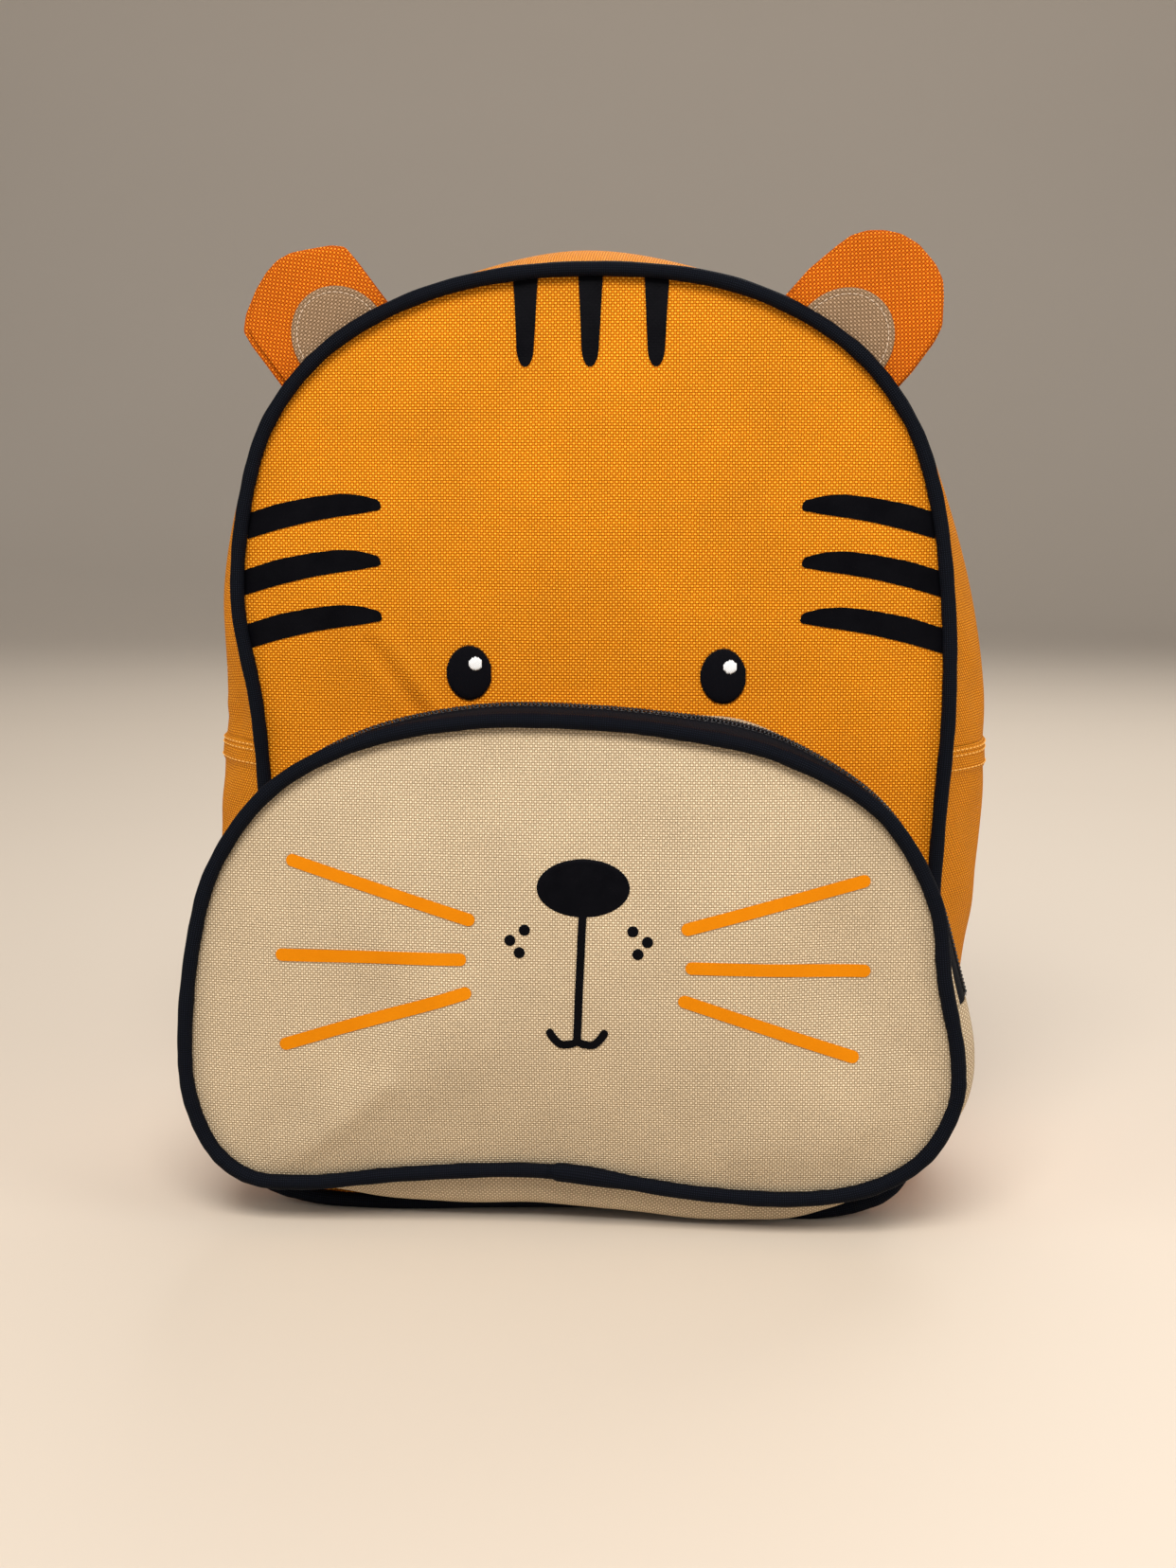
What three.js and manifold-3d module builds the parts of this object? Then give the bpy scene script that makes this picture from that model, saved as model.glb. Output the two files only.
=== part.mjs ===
// A child's tiger-faced backpack, standing on its base.
// +Z is up, the face looks along -Y, and the origin is the middle of the base. Lengths are in millimetres.
// The body is a shell of sewn panels: a front panel, a back panel and a gusset between them, which bellies
// out. The gusset is split by the main zip over the top and by a lapped hem at each side. The muzzle is a
// zipped pocket on the front, and piping covers the front seam of the body and of the pocket.
import * as THREE from "three";
import { mergeVertices } from "three/addons/utils/BufferGeometryUtils.js";
import Module from "manifold-3d";

const wasm = await Module();
wasm.setup();

// Cloth and seams
const FABRIC = 1.5; // one coated polyester wall
const SEAM_GAP = 0.3; // clearance between pieces that are sewn or laid together
const PIPING_DIAMETER = 4.6;
const PIPING_SIDES = 8;

// Body
const BODY_WIDTH = 236; // across the piping of the front panel
const BODY_HEIGHT = 307; // from the floor to the middle of the piping at the top
const BODY_DEPTH = 100; // from the front seam to the back seam
const BODY_CROWN = 9; // how far the front panel swells
const TOE_REACH = 30; // the foot of the front panel is pushed forward, under the pocket
const TOE_HEIGHT = 100;
const BODY_BULGE = 24; // how far the gusset bellies out at the sides
const BACK_CROWN = 4;
const BACK_PADDING = 5; // foam-backed middle of the back panel
const HEM_HEIGHT = 152; // lapped hem where the lower gusset meets the zipped one
const HEM_WIDTH = 10;
const HEM_FOLD = 0.8; // the folded hem stands this much proud

// Zips
const MAIN_ZIP_WIDTH = 24;
const MAIN_ZIP_SETBACK = 56; // from the front seam to the near edge of the main zip
const POCKET_ZIP_WIDTH = 20;
const POCKET_ZIP_SETBACK = 3; // from the pocket seam to the near edge of its zip
const ZIP_TAPE = 1;
const ZIP_SUNK = 0.4; // the tape lies this much below the cloth beside it
const COIL_WIDTH = 5;
const COIL_HEIGHT = 1.2;
const SLIDER_LENGTH = 11;
const SLIDER_WIDTH = 9;
const SLIDER_HEIGHT = 4;
const PULL_LENGTH = 24;
const PULL_WIDTH = 6;
const PULL_THICKNESS = 2;

// Muzzle pocket
const POCKET_WIDTH = 247;
const POCKET_HEIGHT = 166.5; // from the floor to the middle of its piping at the top
const POCKET_DEPTH = 46; // from the body's front seam to the pocket's
const POCKET_CROWN = 11;
const POCKET_BULGE = 7;
const SEWN_WIDTH = 208; // across the line where the pocket's gusset is sewn to the body
const SEWN_LIFT = 1.5; // how much higher that line lies than the pocket's front, at the bottom
const SEWN_DROP = 2.5; // how much less that is over the top
const SEWN_PULL = { x: 0.4, width: 0.2, rise: 5.5 }; // the zip is pulled up there, x and width as shares
const POCKET_ZIP_END = 75; // height at which the pocket zip ends, at each side

// Ears
const EAR_THICKNESS = 2.8;
const EAR_ROUNDING = 0.9;
const EAR_SEAT = 1.7; // from the body seam to the ear's base, just over the gusset
const PATCH_WIDTH = 30;
const PATCH_HEIGHT = 17.4;
const PATCH_THICKNESS = 1;

// Face
const FILM = 0.4; // thickness of a heat-pressed print
const EMBROIDERY = 1;
const EYE_WIDTH = 15;
const EYE_HEIGHT = 18.5;
const GLINT_DIAMETER = 4.4;
const NOSE_WIDTH = 29;
const NOSE_HEIGHT = 18;
const MOUTH_STROKE = 2.5;
const MOUTH_HOOK_WIDTH = 9;
const MOUTH_HOOK_HEIGHT = 4.6;
const FRECKLE_DIAMETER = 3.5;
const WHISKER_STROKE = 4;
const STRIPE_WIDTH = 8;
const STRIPE_LENGTH = 25;

// Shoulder straps and hanging loop
const STRAP_PAD_WIDTH = 42;
const STRAP_PAD_THICKNESS = 7;
const WEBBING_WIDTH = 20;
const WEBBING = 1.6;
const STRAP_TOP_REACH = 34; // from the middle of the back to the middle of a strap, at the top
const STRAP_FOOT_REACH = 90;
const STRAP_TOP_HEIGHT = 270;
const STRAP_FOOT_HEIGHT = 30;
const STRAP_BOW = 34; // how far a slack strap stands off the back
const BUCKLE_WIDTH = 30;
const BUCKLE_BAR = 4;
const BUCKLE_SLOT = 6;
const BUCKLE_THICKNESS = 3.6;
const TAIL_LENGTH = 55;
const LOOP_WIDTH = 22;
const LOOP_HEIGHT = 26;
const LOOP_REACH = 20;

const ORANGE = { color: 0xf08c0a, roughness: 0.85, metalness: 0 };
const BEIGE = { color: 0xd8bf98, roughness: 0.85, metalness: 0 };
const BLACK_CLOTH = { color: 0x15161a, roughness: 0.7, metalness: 0 };
const BLACK_PRINT = { color: 0x0b0b0d, roughness: 0.45, metalness: 0 };
const ORANGE_PRINT = { color: 0xf39a12, roughness: 0.5, metalness: 0 };
const WHITE_THREAD = { color: 0xf2f2f0, roughness: 0.6, metalness: 0 };
const BLACK_PLASTIC = { color: 0x111114, roughness: 0.4, metalness: 0 };
const ZIP_METAL = { color: 0x2a2b2f, roughness: 0.35, metalness: 0.8 };

// Outlines, as shares of half the width and of the height. bulge is the gusset's bulge there, as a share.
const BODY_OUTLINE = {
  bottom: { x: 0, up: 0.013, bulge: 0.75 },
  top: { x: -0.04, up: 1.001, bulge: 0.5 },
  rows: [
    { left: 0.8, leftUp: 0.013, leftBulge: 0.75, right: 0.74, rightUp: 0.013, rightBulge: 0.75 },
    { left: 0.93, leftUp: 0.034, leftBulge: 0.7, right: 0.88, rightUp: 0.042, rightBulge: 0.65 },
    { left: 0.945, leftUp: 0.146, leftBulge: 0.9, right: 0.935, rightUp: 0.146, rightBulge: 0.7 },
    { left: 0.93, leftUp: 0.277, leftBulge: 1.15, right: 0.96, rightUp: 0.277, rightBulge: 0.82 },
    { left: 0.933, leftUp: 0.424, leftBulge: 1.2, right: 0.981, rightUp: 0.424, rightBulge: 0.9 },
    { left: 0.953, leftUp: 0.537, leftBulge: 0.93, right: 0.999, rightUp: 0.538, rightBulge: 0.79 },
    { left: 1, leftUp: 0.652, leftBulge: 0.73, right: 0.99, rightUp: 0.652, rightBulge: 0.6 },
    { left: 0.968, leftUp: 0.765, leftBulge: 0.58, right: 0.948, rightUp: 0.765, rightBulge: 0.38 },
    { left: 0.894, leftUp: 0.847, leftBulge: 0.5, right: 0.871, rightUp: 0.846, rightBulge: 0.32 },
    { left: 0.721, leftUp: 0.923, leftBulge: 0.36, right: 0.706, rightUp: 0.922, rightBulge: 0.3 },
    { left: 0.429, leftUp: 0.979, leftBulge: 0.36, right: 0.4, rightUp: 0.983, rightBulge: 0.28 },
  ],
};
const POCKET_OUTLINE = {
  bottom: { x: -0.1, up: 0.124, bulge: 2.4 },
  top: { x: 0.005, up: 0.998, bulge: 0.72 },
  rows: [
    { left: 0.461, leftUp: 0.111, leftBulge: 2.1, right: 0.32, rightUp: 0.085, rightBulge: 2 },
    { left: 0.735, leftUp: 0.089, leftBulge: 0.8, right: 0.585, rightUp: 0.08, rightBulge: 1.6 },
    { left: 0.874, leftUp: 0.098, leftBulge: 0.4, right: 0.768, rightUp: 0.109, rightBulge: 0.8 },
    { left: 0.964, leftUp: 0.148, leftBulge: 0.9, right: 0.89, rightUp: 0.171, rightBulge: 0.9 },
    { left: 1.025, leftUp: 0.25, leftBulge: 0.8, right: 0.96, rightUp: 0.273, rightBulge: 1.5 },
    { left: 1.037, leftUp: 0.361, leftBulge: 0.75, right: 0.964, rightUp: 0.36, rightBulge: 1.7 },
    { left: 1.005, leftUp: 0.57, leftBulge: 0.75, right: 0.926, rightUp: 0.509, rightBulge: 1.5 },
    { left: 0.946, leftUp: 0.714, leftBulge: 0.6, right: 0.896, rightUp: 0.663, rightBulge: 0.85 },
    { left: 0.798, leftUp: 0.861, leftBulge: 0.45, right: 0.76, rightUp: 0.83, rightBulge: 0.55 },
    { left: 0.573, leftUp: 0.953, leftBulge: 0.53, right: 0.51, rightUp: 0.937, rightBulge: 0.58 },
    { left: 0.274, leftUp: 0.997, leftBulge: 0.7, right: 0.242, rightUp: 0.981, rightBulge: 0.65 },
  ],
};

// Soft folds, from one point of a panel to another, as shares of half its width and of its height.
// width is a share of half the panel's width. depth is a share of its crown: a fold above 0 stands proud.
const BODY_FOLDS = [
  { fromX: -0.79, fromUp: 0.668, toX: -0.55, toUp: 0.567, width: 0.1, depth: 0.16 },
  { fromX: -0.86, fromUp: 0.606, toX: -0.66, toUp: 0.528, width: 0.14, depth: -0.2 },
];
const POCKET_FOLDS = [
  { fromX: -0.74, fromUp: 0.146, toX: -0.36, toUp: 0.437, width: 0.12, depth: 0.2 },
  { fromX: -0.86, fromUp: 0.243, toX: -0.56, toUp: 0.457, width: 0.12, depth: -0.2 },
  { fromX: 0.88, fromUp: 0.36, toX: 0.7, toUp: 0.573, width: 0.13, depth: -0.5 },
  { fromX: 0.86, fromUp: 0.302, toX: 0.46, toUp: 0.146, width: 0.13, depth: 0.24 },
];

// base is the height of the ear's middle, width and height are the ear's, all as shares of the body's. lean
// is in degrees from upright, and patch is how far the patch lies off the middle, as a share of the width.
const EARS = [
  { side: "left", sign: -1, base: 0.929, lean: 37, width: 0.1864, height: 0.1072, patch: 0.016 },
  { side: "right", sign: 1, base: 0.933, lean: 42, width: 0.2008, height: 0.1254, patch: 0.065 },
];
// The rim of each ear from its left foot to its right one, as shares of half its width and of its height
const EAR_RIMS = {
  left: [
    { along: -1.12, up: 0.5 },
    { along: -1.09, up: 0.66 },
    { along: -0.9, up: 0.78 },
    { along: -0.56, up: 0.905 },
    { along: -0.28, up: 0.975 },
    { along: -0.04, up: 1 },
    { along: 0.19, up: 0.975 },
    { along: 0.46, up: 0.885 },
    { along: 0.74, up: 0.785 },
    { along: 0.89, up: 0.69 },
    { along: 0.91, up: 0.5 },
  ],
  right: [
    { along: -0.862, up: 0.25 },
    { along: -0.792, up: 0.54 },
    { along: -0.742, up: 0.68 },
    { along: -0.622, up: 0.8 },
    { along: -0.452, up: 0.895 },
    { along: -0.252, up: 0.965 },
    { along: 0.018, up: 1 },
    { along: 0.368, up: 0.975 },
    { along: 0.588, up: 0.92 },
    { along: 0.748, up: 0.825 },
    { along: 0.998, up: 0.645 },
    { along: 1.068, up: 0.5 },
    { along: 1.118, up: 0.2 },
  ],
};

// Prints and embroidery, as shares of half the panel's width and of its height. An eye stands over the
// pocket, by a share of its own height.
const EYES = [
  { side: "left", x: -0.336, over: 0.575 },
  { side: "right", x: 0.372, over: 0.542 },
];
const GLINT_SHIFT = { x: 0.15, up: 0.17 }; // from the middle of an eye, as shares of its width and height
const TOP_STRIPES = [
  { place: "left", x: -0.18 },
  { place: "middle", x: -0.001 },
  { place: "right", x: 0.18 },
];
const SIDE_STRIPES = [
  { place: "upper", tip: 0.582, up: 0.753 },
  { place: "middle", tip: 0.584, up: 0.6935 },
  { place: "lower", tip: 0.582, up: 0.6345 },
];
const SIDE_STRIPE_EDGES = [
  { out: 0.02, upper: 0.023, lower: -0.01 },
  { out: 0.06, upper: 0.034, lower: -0.018 },
  { out: 0.12, upper: 0.037, lower: -0.026 },
  { out: 0.2, upper: 0.027, lower: -0.04 },
  { out: 0.3, upper: 0.008, lower: -0.064 },
  { out: 0.42, upper: -0.03, lower: -0.1 },
];
const NOSE = { x: 0.011, up: 0.692 };
const MOUTH_FOOT = { x: -0.004, up: 0.397 };
const FRECKLES = [
  { place: "top", x: 0.137, up: 0.612 },
  { place: "outer", x: 0.174, up: 0.592 },
  { place: "bottom", x: 0.15, up: 0.569 },
];
const WHISKERS = [
  { side: "left", place: "upper", fromX: 0.28, fromUp: 0.629, toX: 0.739, toUp: 0.7305 },
  { side: "left", place: "middle", fromX: 0.302, fromUp: 0.553, toX: 0.77, toUp: 0.548 },
  { side: "left", place: "lower", fromX: 0.289, fromUp: 0.489, toX: 0.765, toUp: 0.372 },
  { side: "right", place: "upper", fromX: 0.275, fromUp: 0.617, toX: 0.716, toUp: 0.7045 },
  { side: "right", place: "middle", fromX: 0.286, fromUp: 0.543, toX: 0.721, toUp: 0.532 },
  { side: "right", place: "lower", fromX: 0.268, fromUp: 0.4785, toX: 0.695, toUp: 0.369 },
];

// Strap course: down is a share of the way to the foot, out of the way to the foot's reach, bow of the bow.
const STRAP_COURSE = [
  { down: 0, out: 0, bow: 0 },
  { down: 0.05, out: 0.02, bow: 0.12 },
  { down: 0.14, out: 0.1, bow: 0.62 },
  { down: 0.28, out: 0.24, bow: 0.95 },
  { down: 0.42, out: 0.4, bow: 1 },
  { down: 0.56, out: 0.54, bow: 0.84 },
  { down: 0.66, out: 0.64, bow: 0.66 },
];
const WEBBING_COURSE = [
  { down: 0.8, out: 0.78, bow: 0.36 },
  { down: 0.93, out: 0.92, bow: 0.08 },
  { down: 1, out: 1, bow: 0 },
];

// Outline points run from the bottom middle up the right side, over the top and down the left side.
function ringFrom(outline, width, height, bulge) {
  const point = (x, up, swell) => new THREE.Vector3((x * width) / 2, swell * bulge, up * height);
  const path = new THREE.CatmullRomCurve3(
    [
      point(outline.bottom.x, outline.bottom.up, outline.bottom.bulge),
      ...outline.rows.map((row) => point(row.right, row.rightUp, row.rightBulge)),
      point(outline.top.x, outline.top.up, outline.top.bulge),
      ...outline.rows.map((row) => point(-row.left, row.leftUp, row.leftBulge)).reverse(),
    ],
    true,
    "centripetal",
  );
  const count = path.points.length * 2;
  const points = path.getPoints(count).slice(0, count);
  return points.map((p, k) => {
    const ahead = points[(k + 1) % count];
    const behind = points[(k + count - 1) % count];
    const length = Math.hypot(ahead.x - behind.x, ahead.z - behind.z);
    const nx = (ahead.z - behind.z) / length;
    const nz = (behind.x - ahead.x) / length;
    return { x: p.x, z: p.z, nx, nz, bulge: p.y };
  });
}

function offsetRing(ring, distance) {
  return ring.map((q) => ({ ...q, x: q.x + q.nx * distance, z: q.z + q.nz * distance }));
}

// A point of the ring at position p, which may lie between two of its points.
function ringAt(ring, p) {
  const count = ring.length;
  const wrapped = ((p % count) + count) % count;
  const k = Math.floor(wrapped);
  const share = wrapped - k;
  const a = ring[k];
  const b = ring[(k + 1) % count];
  const mix = (key) => a[key] + (b[key] - a[key]) * share;
  return { x: mix("x"), z: mix("z"), nx: mix("nx"), nz: mix("nz"), bulge: mix("bulge") };
}

// Position on the ring where it passes a height, on the right side (sign 1) or the left side (sign -1).
function positionAtHeight(ring, height, sign) {
  const half = ring.length / 2;
  for (let k = 0; k < half; k++) {
    const a = sign > 0 ? ring[k] : ring[(ring.length - k) % ring.length];
    const b = sign > 0 ? ring[k + 1] : ring[ring.length - k - 1];
    if (a.z <= height && b.z > height) {
      const along = k + (height - a.z) / (b.z - a.z);
      return sign > 0 ? along : ring.length - along;
    }
  }
  throw new Error("no point of the outline is " + height + " mm high");
}

// The positions of a strip's columns: its two ends and every ring point between them.
function stations(start, end) {
  const list = [start];
  for (let k = Math.floor(start) + 1; k < end; k++) if (k - start > 0.05 && end - k > 0.05) list.push(k);
  list.push(end);
  return list;
}

// A closed solid between two faces of the same grid of points. Both faces split their cells along the same
// diagonal, so that a skin laid over a panel stays parallel to it.
function solidBetween(cols, rows, outer, inner) {
  const positions = [];
  const indices = [];
  const layer = (cols + 1) * (rows + 1);
  const id = (i, j, side) => side * layer + j * (cols + 1) + i;
  for (const face of [outer, inner])
    for (let j = 0; j <= rows; j++) for (let i = 0; i <= cols; i++) positions.push(...face(i, j));
  const quad = (a, b, c, d) => indices.push(a, b, c, a, c, d);
  for (let j = 0; j < rows; j++)
    for (let i = 0; i < cols; i++) {
      quad(id(i, j, 0), id(i + 1, j, 0), id(i + 1, j + 1, 0), id(i, j + 1, 0));
      quad(id(i + 1, j + 1, 1), id(i + 1, j, 1), id(i, j, 1), id(i, j + 1, 1));
    }
  for (let i = 0; i < cols; i++) {
    quad(id(i + 1, 0, 0), id(i, 0, 0), id(i, 0, 1), id(i + 1, 0, 1));
    quad(id(i, rows, 0), id(i + 1, rows, 0), id(i + 1, rows, 1), id(i, rows, 1));
  }
  for (let j = 0; j < rows; j++) {
    quad(id(0, j, 0), id(0, j + 1, 0), id(0, j + 1, 1), id(0, j, 1));
    quad(id(cols, j + 1, 0), id(cols, j, 0), id(cols, j, 1), id(cols, j + 1, 1));
  }
  return facingOut(positions, indices);
}

function facingOut(positions, indices) {
  const corner = (k) => new THREE.Vector3().fromArray(positions, 3 * indices[k]);
  let volume = 0;
  for (let k = 0; k < indices.length; k += 3) volume += corner(k).dot(corner(k + 1).cross(corner(k + 2)));
  if (volume < 0)
    for (let k = 0; k < indices.length; k += 3) [indices[k], indices[k + 1]] = [indices[k + 1], indices[k]];
  const geometry = new THREE.BufferGeometry();
  geometry.setAttribute("position", new THREE.Float32BufferAttribute(positions, 3));
  geometry.setIndex(indices);
  return geometry;
}

function toSolid(geometry) {
  const bare = geometry.clone();
  bare.deleteAttribute("normal");
  bare.deleteAttribute("uv");
  const merged = mergeVertices(bare, 1e-4);
  const triVerts = new Uint32Array(merged.index.array);
  return new wasm.Manifold(
    new wasm.Mesh({ numProp: 3, vertProperties: merged.attributes.position.array, triVerts }),
  );
}

function toGeometry(solid) {
  const mesh = solid.getMesh();
  const geometry = new THREE.BufferGeometry();
  geometry.setAttribute("position", new THREE.BufferAttribute(mesh.vertProperties, 3));
  geometry.setIndex(new THREE.BufferAttribute(mesh.triVerts, 1));
  return geometry;
}

const pack = new THREE.Group();

function addPiece(name, geometry, finish) {
  const mesh = new THREE.Mesh(geometry, new THREE.MeshStandardMaterial(finish));
  mesh.name = name;
  pack.add(mesh);
}

// A panel's grid lays a square of cells into the ring: reach is 0 in the middle and 1 on the ring.
function panelGrid(ring, centre) {
  const cells = ring.length / 4;
  return (i, j) => {
    const u = (2 * i) / cells - 1;
    const v = (2 * j) / cells - 1;
    const reach = Math.max(Math.abs(u), Math.abs(v));
    if (reach === 0) return { x: centre.x, z: centre.z, reach };
    const [su, sv] = [u / reach, v / reach];
    let p;
    if (sv === -1) p = (su * cells) / 2;
    else if (su === 1) p = cells / 2 + ((sv + 1) / 2) * cells;
    else if (sv === 1) p = 1.5 * cells + ((1 - su) / 2) * cells;
    else p = 2.5 * cells + ((1 - sv) / 2) * cells;
    const edge = ringAt(ring, p);
    return { x: centre.x + (edge.x - centre.x) * reach, z: centre.z + (edge.z - centre.z) * reach, reach };
  };
}

// How far out a point of the panel lies, from 0 at the centre to 1 on the ring.
function reachOf(ring, centre, x, z) {
  const [dx, dz] = [x - centre.x, z - centre.z];
  if (Math.hypot(dx, dz) < 1e-6) return 0;
  for (let k = 0; k < ring.length; k++) {
    const a = ring[k];
    const b = ring[(k + 1) % ring.length];
    const [ex, ez] = [b.x - a.x, b.z - a.z];
    const cross = dx * ez - dz * ex;
    if (Math.abs(cross) < 1e-9) continue;
    const out = ((a.x - centre.x) * ez - (a.z - centre.z) * ex) / cross;
    const along = ((a.x - centre.x) * dz - (a.z - centre.z) * dx) / cross;
    if (out > 0 && along >= -1e-9 && along <= 1 + 1e-9) return 1 / out;
  }
  return 1;
}

function foldHeight(folds, x, z, halfWidth, height, crown) {
  let sum = 0;
  for (const fold of folds) {
    const from = new THREE.Vector2(fold.fromX * halfWidth, fold.fromUp * height);
    const along = new THREE.Vector2(fold.toX * halfWidth, fold.toUp * height).sub(from);
    const spot = new THREE.Vector2(x, z).sub(from);
    const share = THREE.MathUtils.clamp(spot.dot(along) / along.lengthSq(), 0, 1);
    const away = spot.distanceTo(along.multiplyScalar(share)) / (fold.width * halfWidth);
    sum += fold.depth * crown * Math.exp(-away * away);
  }
  return sum;
}

// Rings of the body: the piping's middle line and the seam that it covers
const PIPING_RADIUS = PIPING_DIAMETER / 2;
const PIPING_SEAT = (PIPING_RADIUS + SEAM_GAP) / Math.SQRT2; // outward and forward from the seam's corner
const bodyPipingRing = ringFrom(BODY_OUTLINE, BODY_WIDTH, BODY_HEIGHT, BODY_BULGE);
const bodySeam = offsetRing(bodyPipingRing, -PIPING_SEAT);
const bodyCentre = { x: 0, z: BODY_HEIGHT / 2 };
const FRONT = -BODY_DEPTH / 2;
const BACK = BODY_DEPTH / 2;

// The front seam lies in one plane down to the toe, where it curves forward.
function frontSeamAt(z) {
  return FRONT - TOE_REACH * Math.max(0, 1 - z / TOE_HEIGHT) ** 2;
}

function bodyFace(x, z, reach) {
  const swell = BODY_CROWN + foldHeight(BODY_FOLDS, x, z, BODY_WIDTH / 2, BODY_HEIGHT, BODY_CROWN);
  return frontSeamAt(z) - (1 - reach * reach) * swell;
}

function backFace(reach) {
  return BACK + BACK_CROWN * (1 - reach * reach);
}

function backFaceAt(x, z) {
  return backFace(reachOf(bodySeam, bodyCentre, x, z));
}

function backThickness(reach) {
  return FABRIC + (BACK_PADDING - FABRIC) * THREE.MathUtils.smoothstep(1 - reach, 0, 0.3);
}

function panelSolid(ring, centre, frontY, backY) {
  const cells = ring.length / 4;
  const grid = panelGrid(ring, centre);
  const face = (y) => (i, j) => {
    const spot = grid(i, j);
    return [spot.x, y(spot.x, spot.z, spot.reach), spot.z];
  };
  return solidBetween(cells, cells, face(frontY), face(backY));
}

addPiece(
  "front_panel",
  panelSolid(bodySeam, bodyCentre, bodyFace, (x, z, reach) => bodyFace(x, z, reach) + FABRIC),
  ORANGE,
);
addPiece(
  "back_panel",
  panelSolid(
    bodySeam,
    bodyCentre,
    (x, z, reach) => backFace(reach),
    (x, z, reach) => backFace(reach) - backThickness(reach),
  ),
  ORANGE,
);

// The gusset: across is 0 at the front seam and 1 at the back seam. Its underside is flattened by the floor.
function gussetPoint(p, across, lift) {
  const q = ringAt(bodySeam, p);
  const out = q.bulge * Math.sin(Math.PI * across) + lift;
  const start = frontSeamAt(q.z + q.nz * lift) + FABRIC + SEAM_GAP;
  const y = start + across * (BACK - FABRIC - SEAM_GAP - start);
  return [q.x + q.nx * out, y, Math.max(q.z + q.nz * out, lift < 0 ? -lift : 0)];
}

function upperStrip(from, to, rows) {
  const columns = stations(hemRight, hemLeft);
  const across = (j) => from + ((to - from) * j) / rows;
  return solidBetween(
    columns.length - 1,
    rows,
    (i, j) => gussetPoint(columns[i], across(j), 0),
    (i, j) => gussetPoint(columns[i], across(j), -FABRIC),
  );
}

const hemRight = positionAtHeight(bodySeam, HEM_HEIGHT, 1);
const hemLeft = positionAtHeight(bodySeam, HEM_HEIGHT, -1);
const hemGap = hemRight - positionAtHeight(bodySeam, HEM_HEIGHT - SEAM_GAP, 1);
const GUSSET_SPAN = BODY_DEPTH - 2 * (FABRIC + SEAM_GAP);
const zipFrom = (MAIN_ZIP_SETBACK - FABRIC - SEAM_GAP) / GUSSET_SPAN;
const zipTo = zipFrom + MAIN_ZIP_WIDTH / GUSSET_SPAN;
const gapAcross = SEAM_GAP / GUSSET_SPAN;

addPiece("upper_gusset_front", upperStrip(0, zipFrom - gapAcross, 4), ORANGE);
addPiece("upper_gusset_back", upperStrip(zipTo + gapAcross, 1, 2), ORANGE);

// The lower gusset runs from hem to hem under the bag, and its ends are folded into a hem.
const foldRight = positionAtHeight(bodySeam, HEM_HEIGHT - HEM_WIDTH, 1);
const foldLeft = positionAtHeight(bodySeam, HEM_HEIGHT - HEM_WIDTH, -1);
const lowerStart = hemLeft - bodySeam.length + hemGap;
const lowerEnd = hemRight - hemGap;

function lowerGusset() {
  const rows = 6;
  const middle = stations(foldLeft - bodySeam.length, foldRight);
  const columns = [
    { p: lowerStart, fold: HEM_FOLD },
    { p: middle[0], fold: HEM_FOLD },
    ...middle.slice(1, -1).map((p) => ({ p, fold: 0 })),
    { p: middle[middle.length - 1], fold: HEM_FOLD },
    { p: lowerEnd, fold: HEM_FOLD },
  ];
  return solidBetween(
    columns.length - 1,
    rows,
    (i, j) => gussetPoint(columns[i].p, j / rows, columns[i].fold),
    (i, j) => gussetPoint(columns[i].p, j / rows, -FABRIC),
  );
}
addPiece("lower_gusset", lowerGusset(), ORANGE);

// A zip band: tape, raised coil and tape, lying a little below the cloth beside it.
function zipProfile(width) {
  const coil = COIL_WIDTH / width / 2;
  return [
    { across: 0, rise: 0 },
    { across: 0.5 - coil, rise: 0 },
    { across: 0.5 - coil / 2, rise: COIL_HEIGHT },
    { across: 0.5 + coil / 2, rise: COIL_HEIGHT },
    { across: 0.5 + coil, rise: 0 },
    { across: 1, rise: 0 },
  ];
}

function zipBand(columns, width, pointAt) {
  const profile = zipProfile(width);
  return solidBetween(
    columns.length - 1,
    profile.length - 1,
    (i, j) => pointAt(columns[i], profile[j].across, profile[j].rise - ZIP_SUNK),
    (i, j) => pointAt(columns[i], profile[j].across, -ZIP_SUNK - ZIP_TAPE),
  );
}

const mainZipPoint = (p, across, lift) => gussetPoint(p, zipFrom + (zipTo - zipFrom) * across, lift);
addPiece("main_zip", zipBand(stations(hemRight, hemLeft), MAIN_ZIP_WIDTH, mainZipPoint), BLACK_CLOTH);

// Piping: a round cord in a cloth cover, laid on the corner between a panel and its gusset.
function pipingSolid(seam, seamY) {
  const count = seam.length;
  const positions = [];
  const indices = [];
  seam.forEach((q) => {
    const slope = (seamY(q.z + 1) - seamY(q.z - 1)) / 2;
    const forward = PIPING_SEAT * Math.hypot(1, slope * q.nx);
    for (let s = 0; s < PIPING_SIDES; s++) {
      const angle = ((s + 0.5) / PIPING_SIDES) * 2 * Math.PI;
      const out = PIPING_SEAT + PIPING_RADIUS * Math.cos(angle);
      const y = seamY(q.z) - forward + PIPING_RADIUS * Math.sin(angle);
      positions.push(q.x + q.nx * out, y, q.z + q.nz * out);
    }
  });
  for (let k = 0; k < count; k++)
    for (let s = 0; s < PIPING_SIDES; s++) {
      const next = ((k + 1) % count) * PIPING_SIDES;
      const turn = (s + 1) % PIPING_SIDES;
      const [a, b, c, d] = [k * PIPING_SIDES + s, next + s, next + turn, k * PIPING_SIDES + turn];
      indices.push(a, b, c, a, c, d);
    }
  return facingOut(positions, indices);
}
addPiece("body_piping", pipingSolid(bodySeam, frontSeamAt), BLACK_CLOTH);

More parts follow.
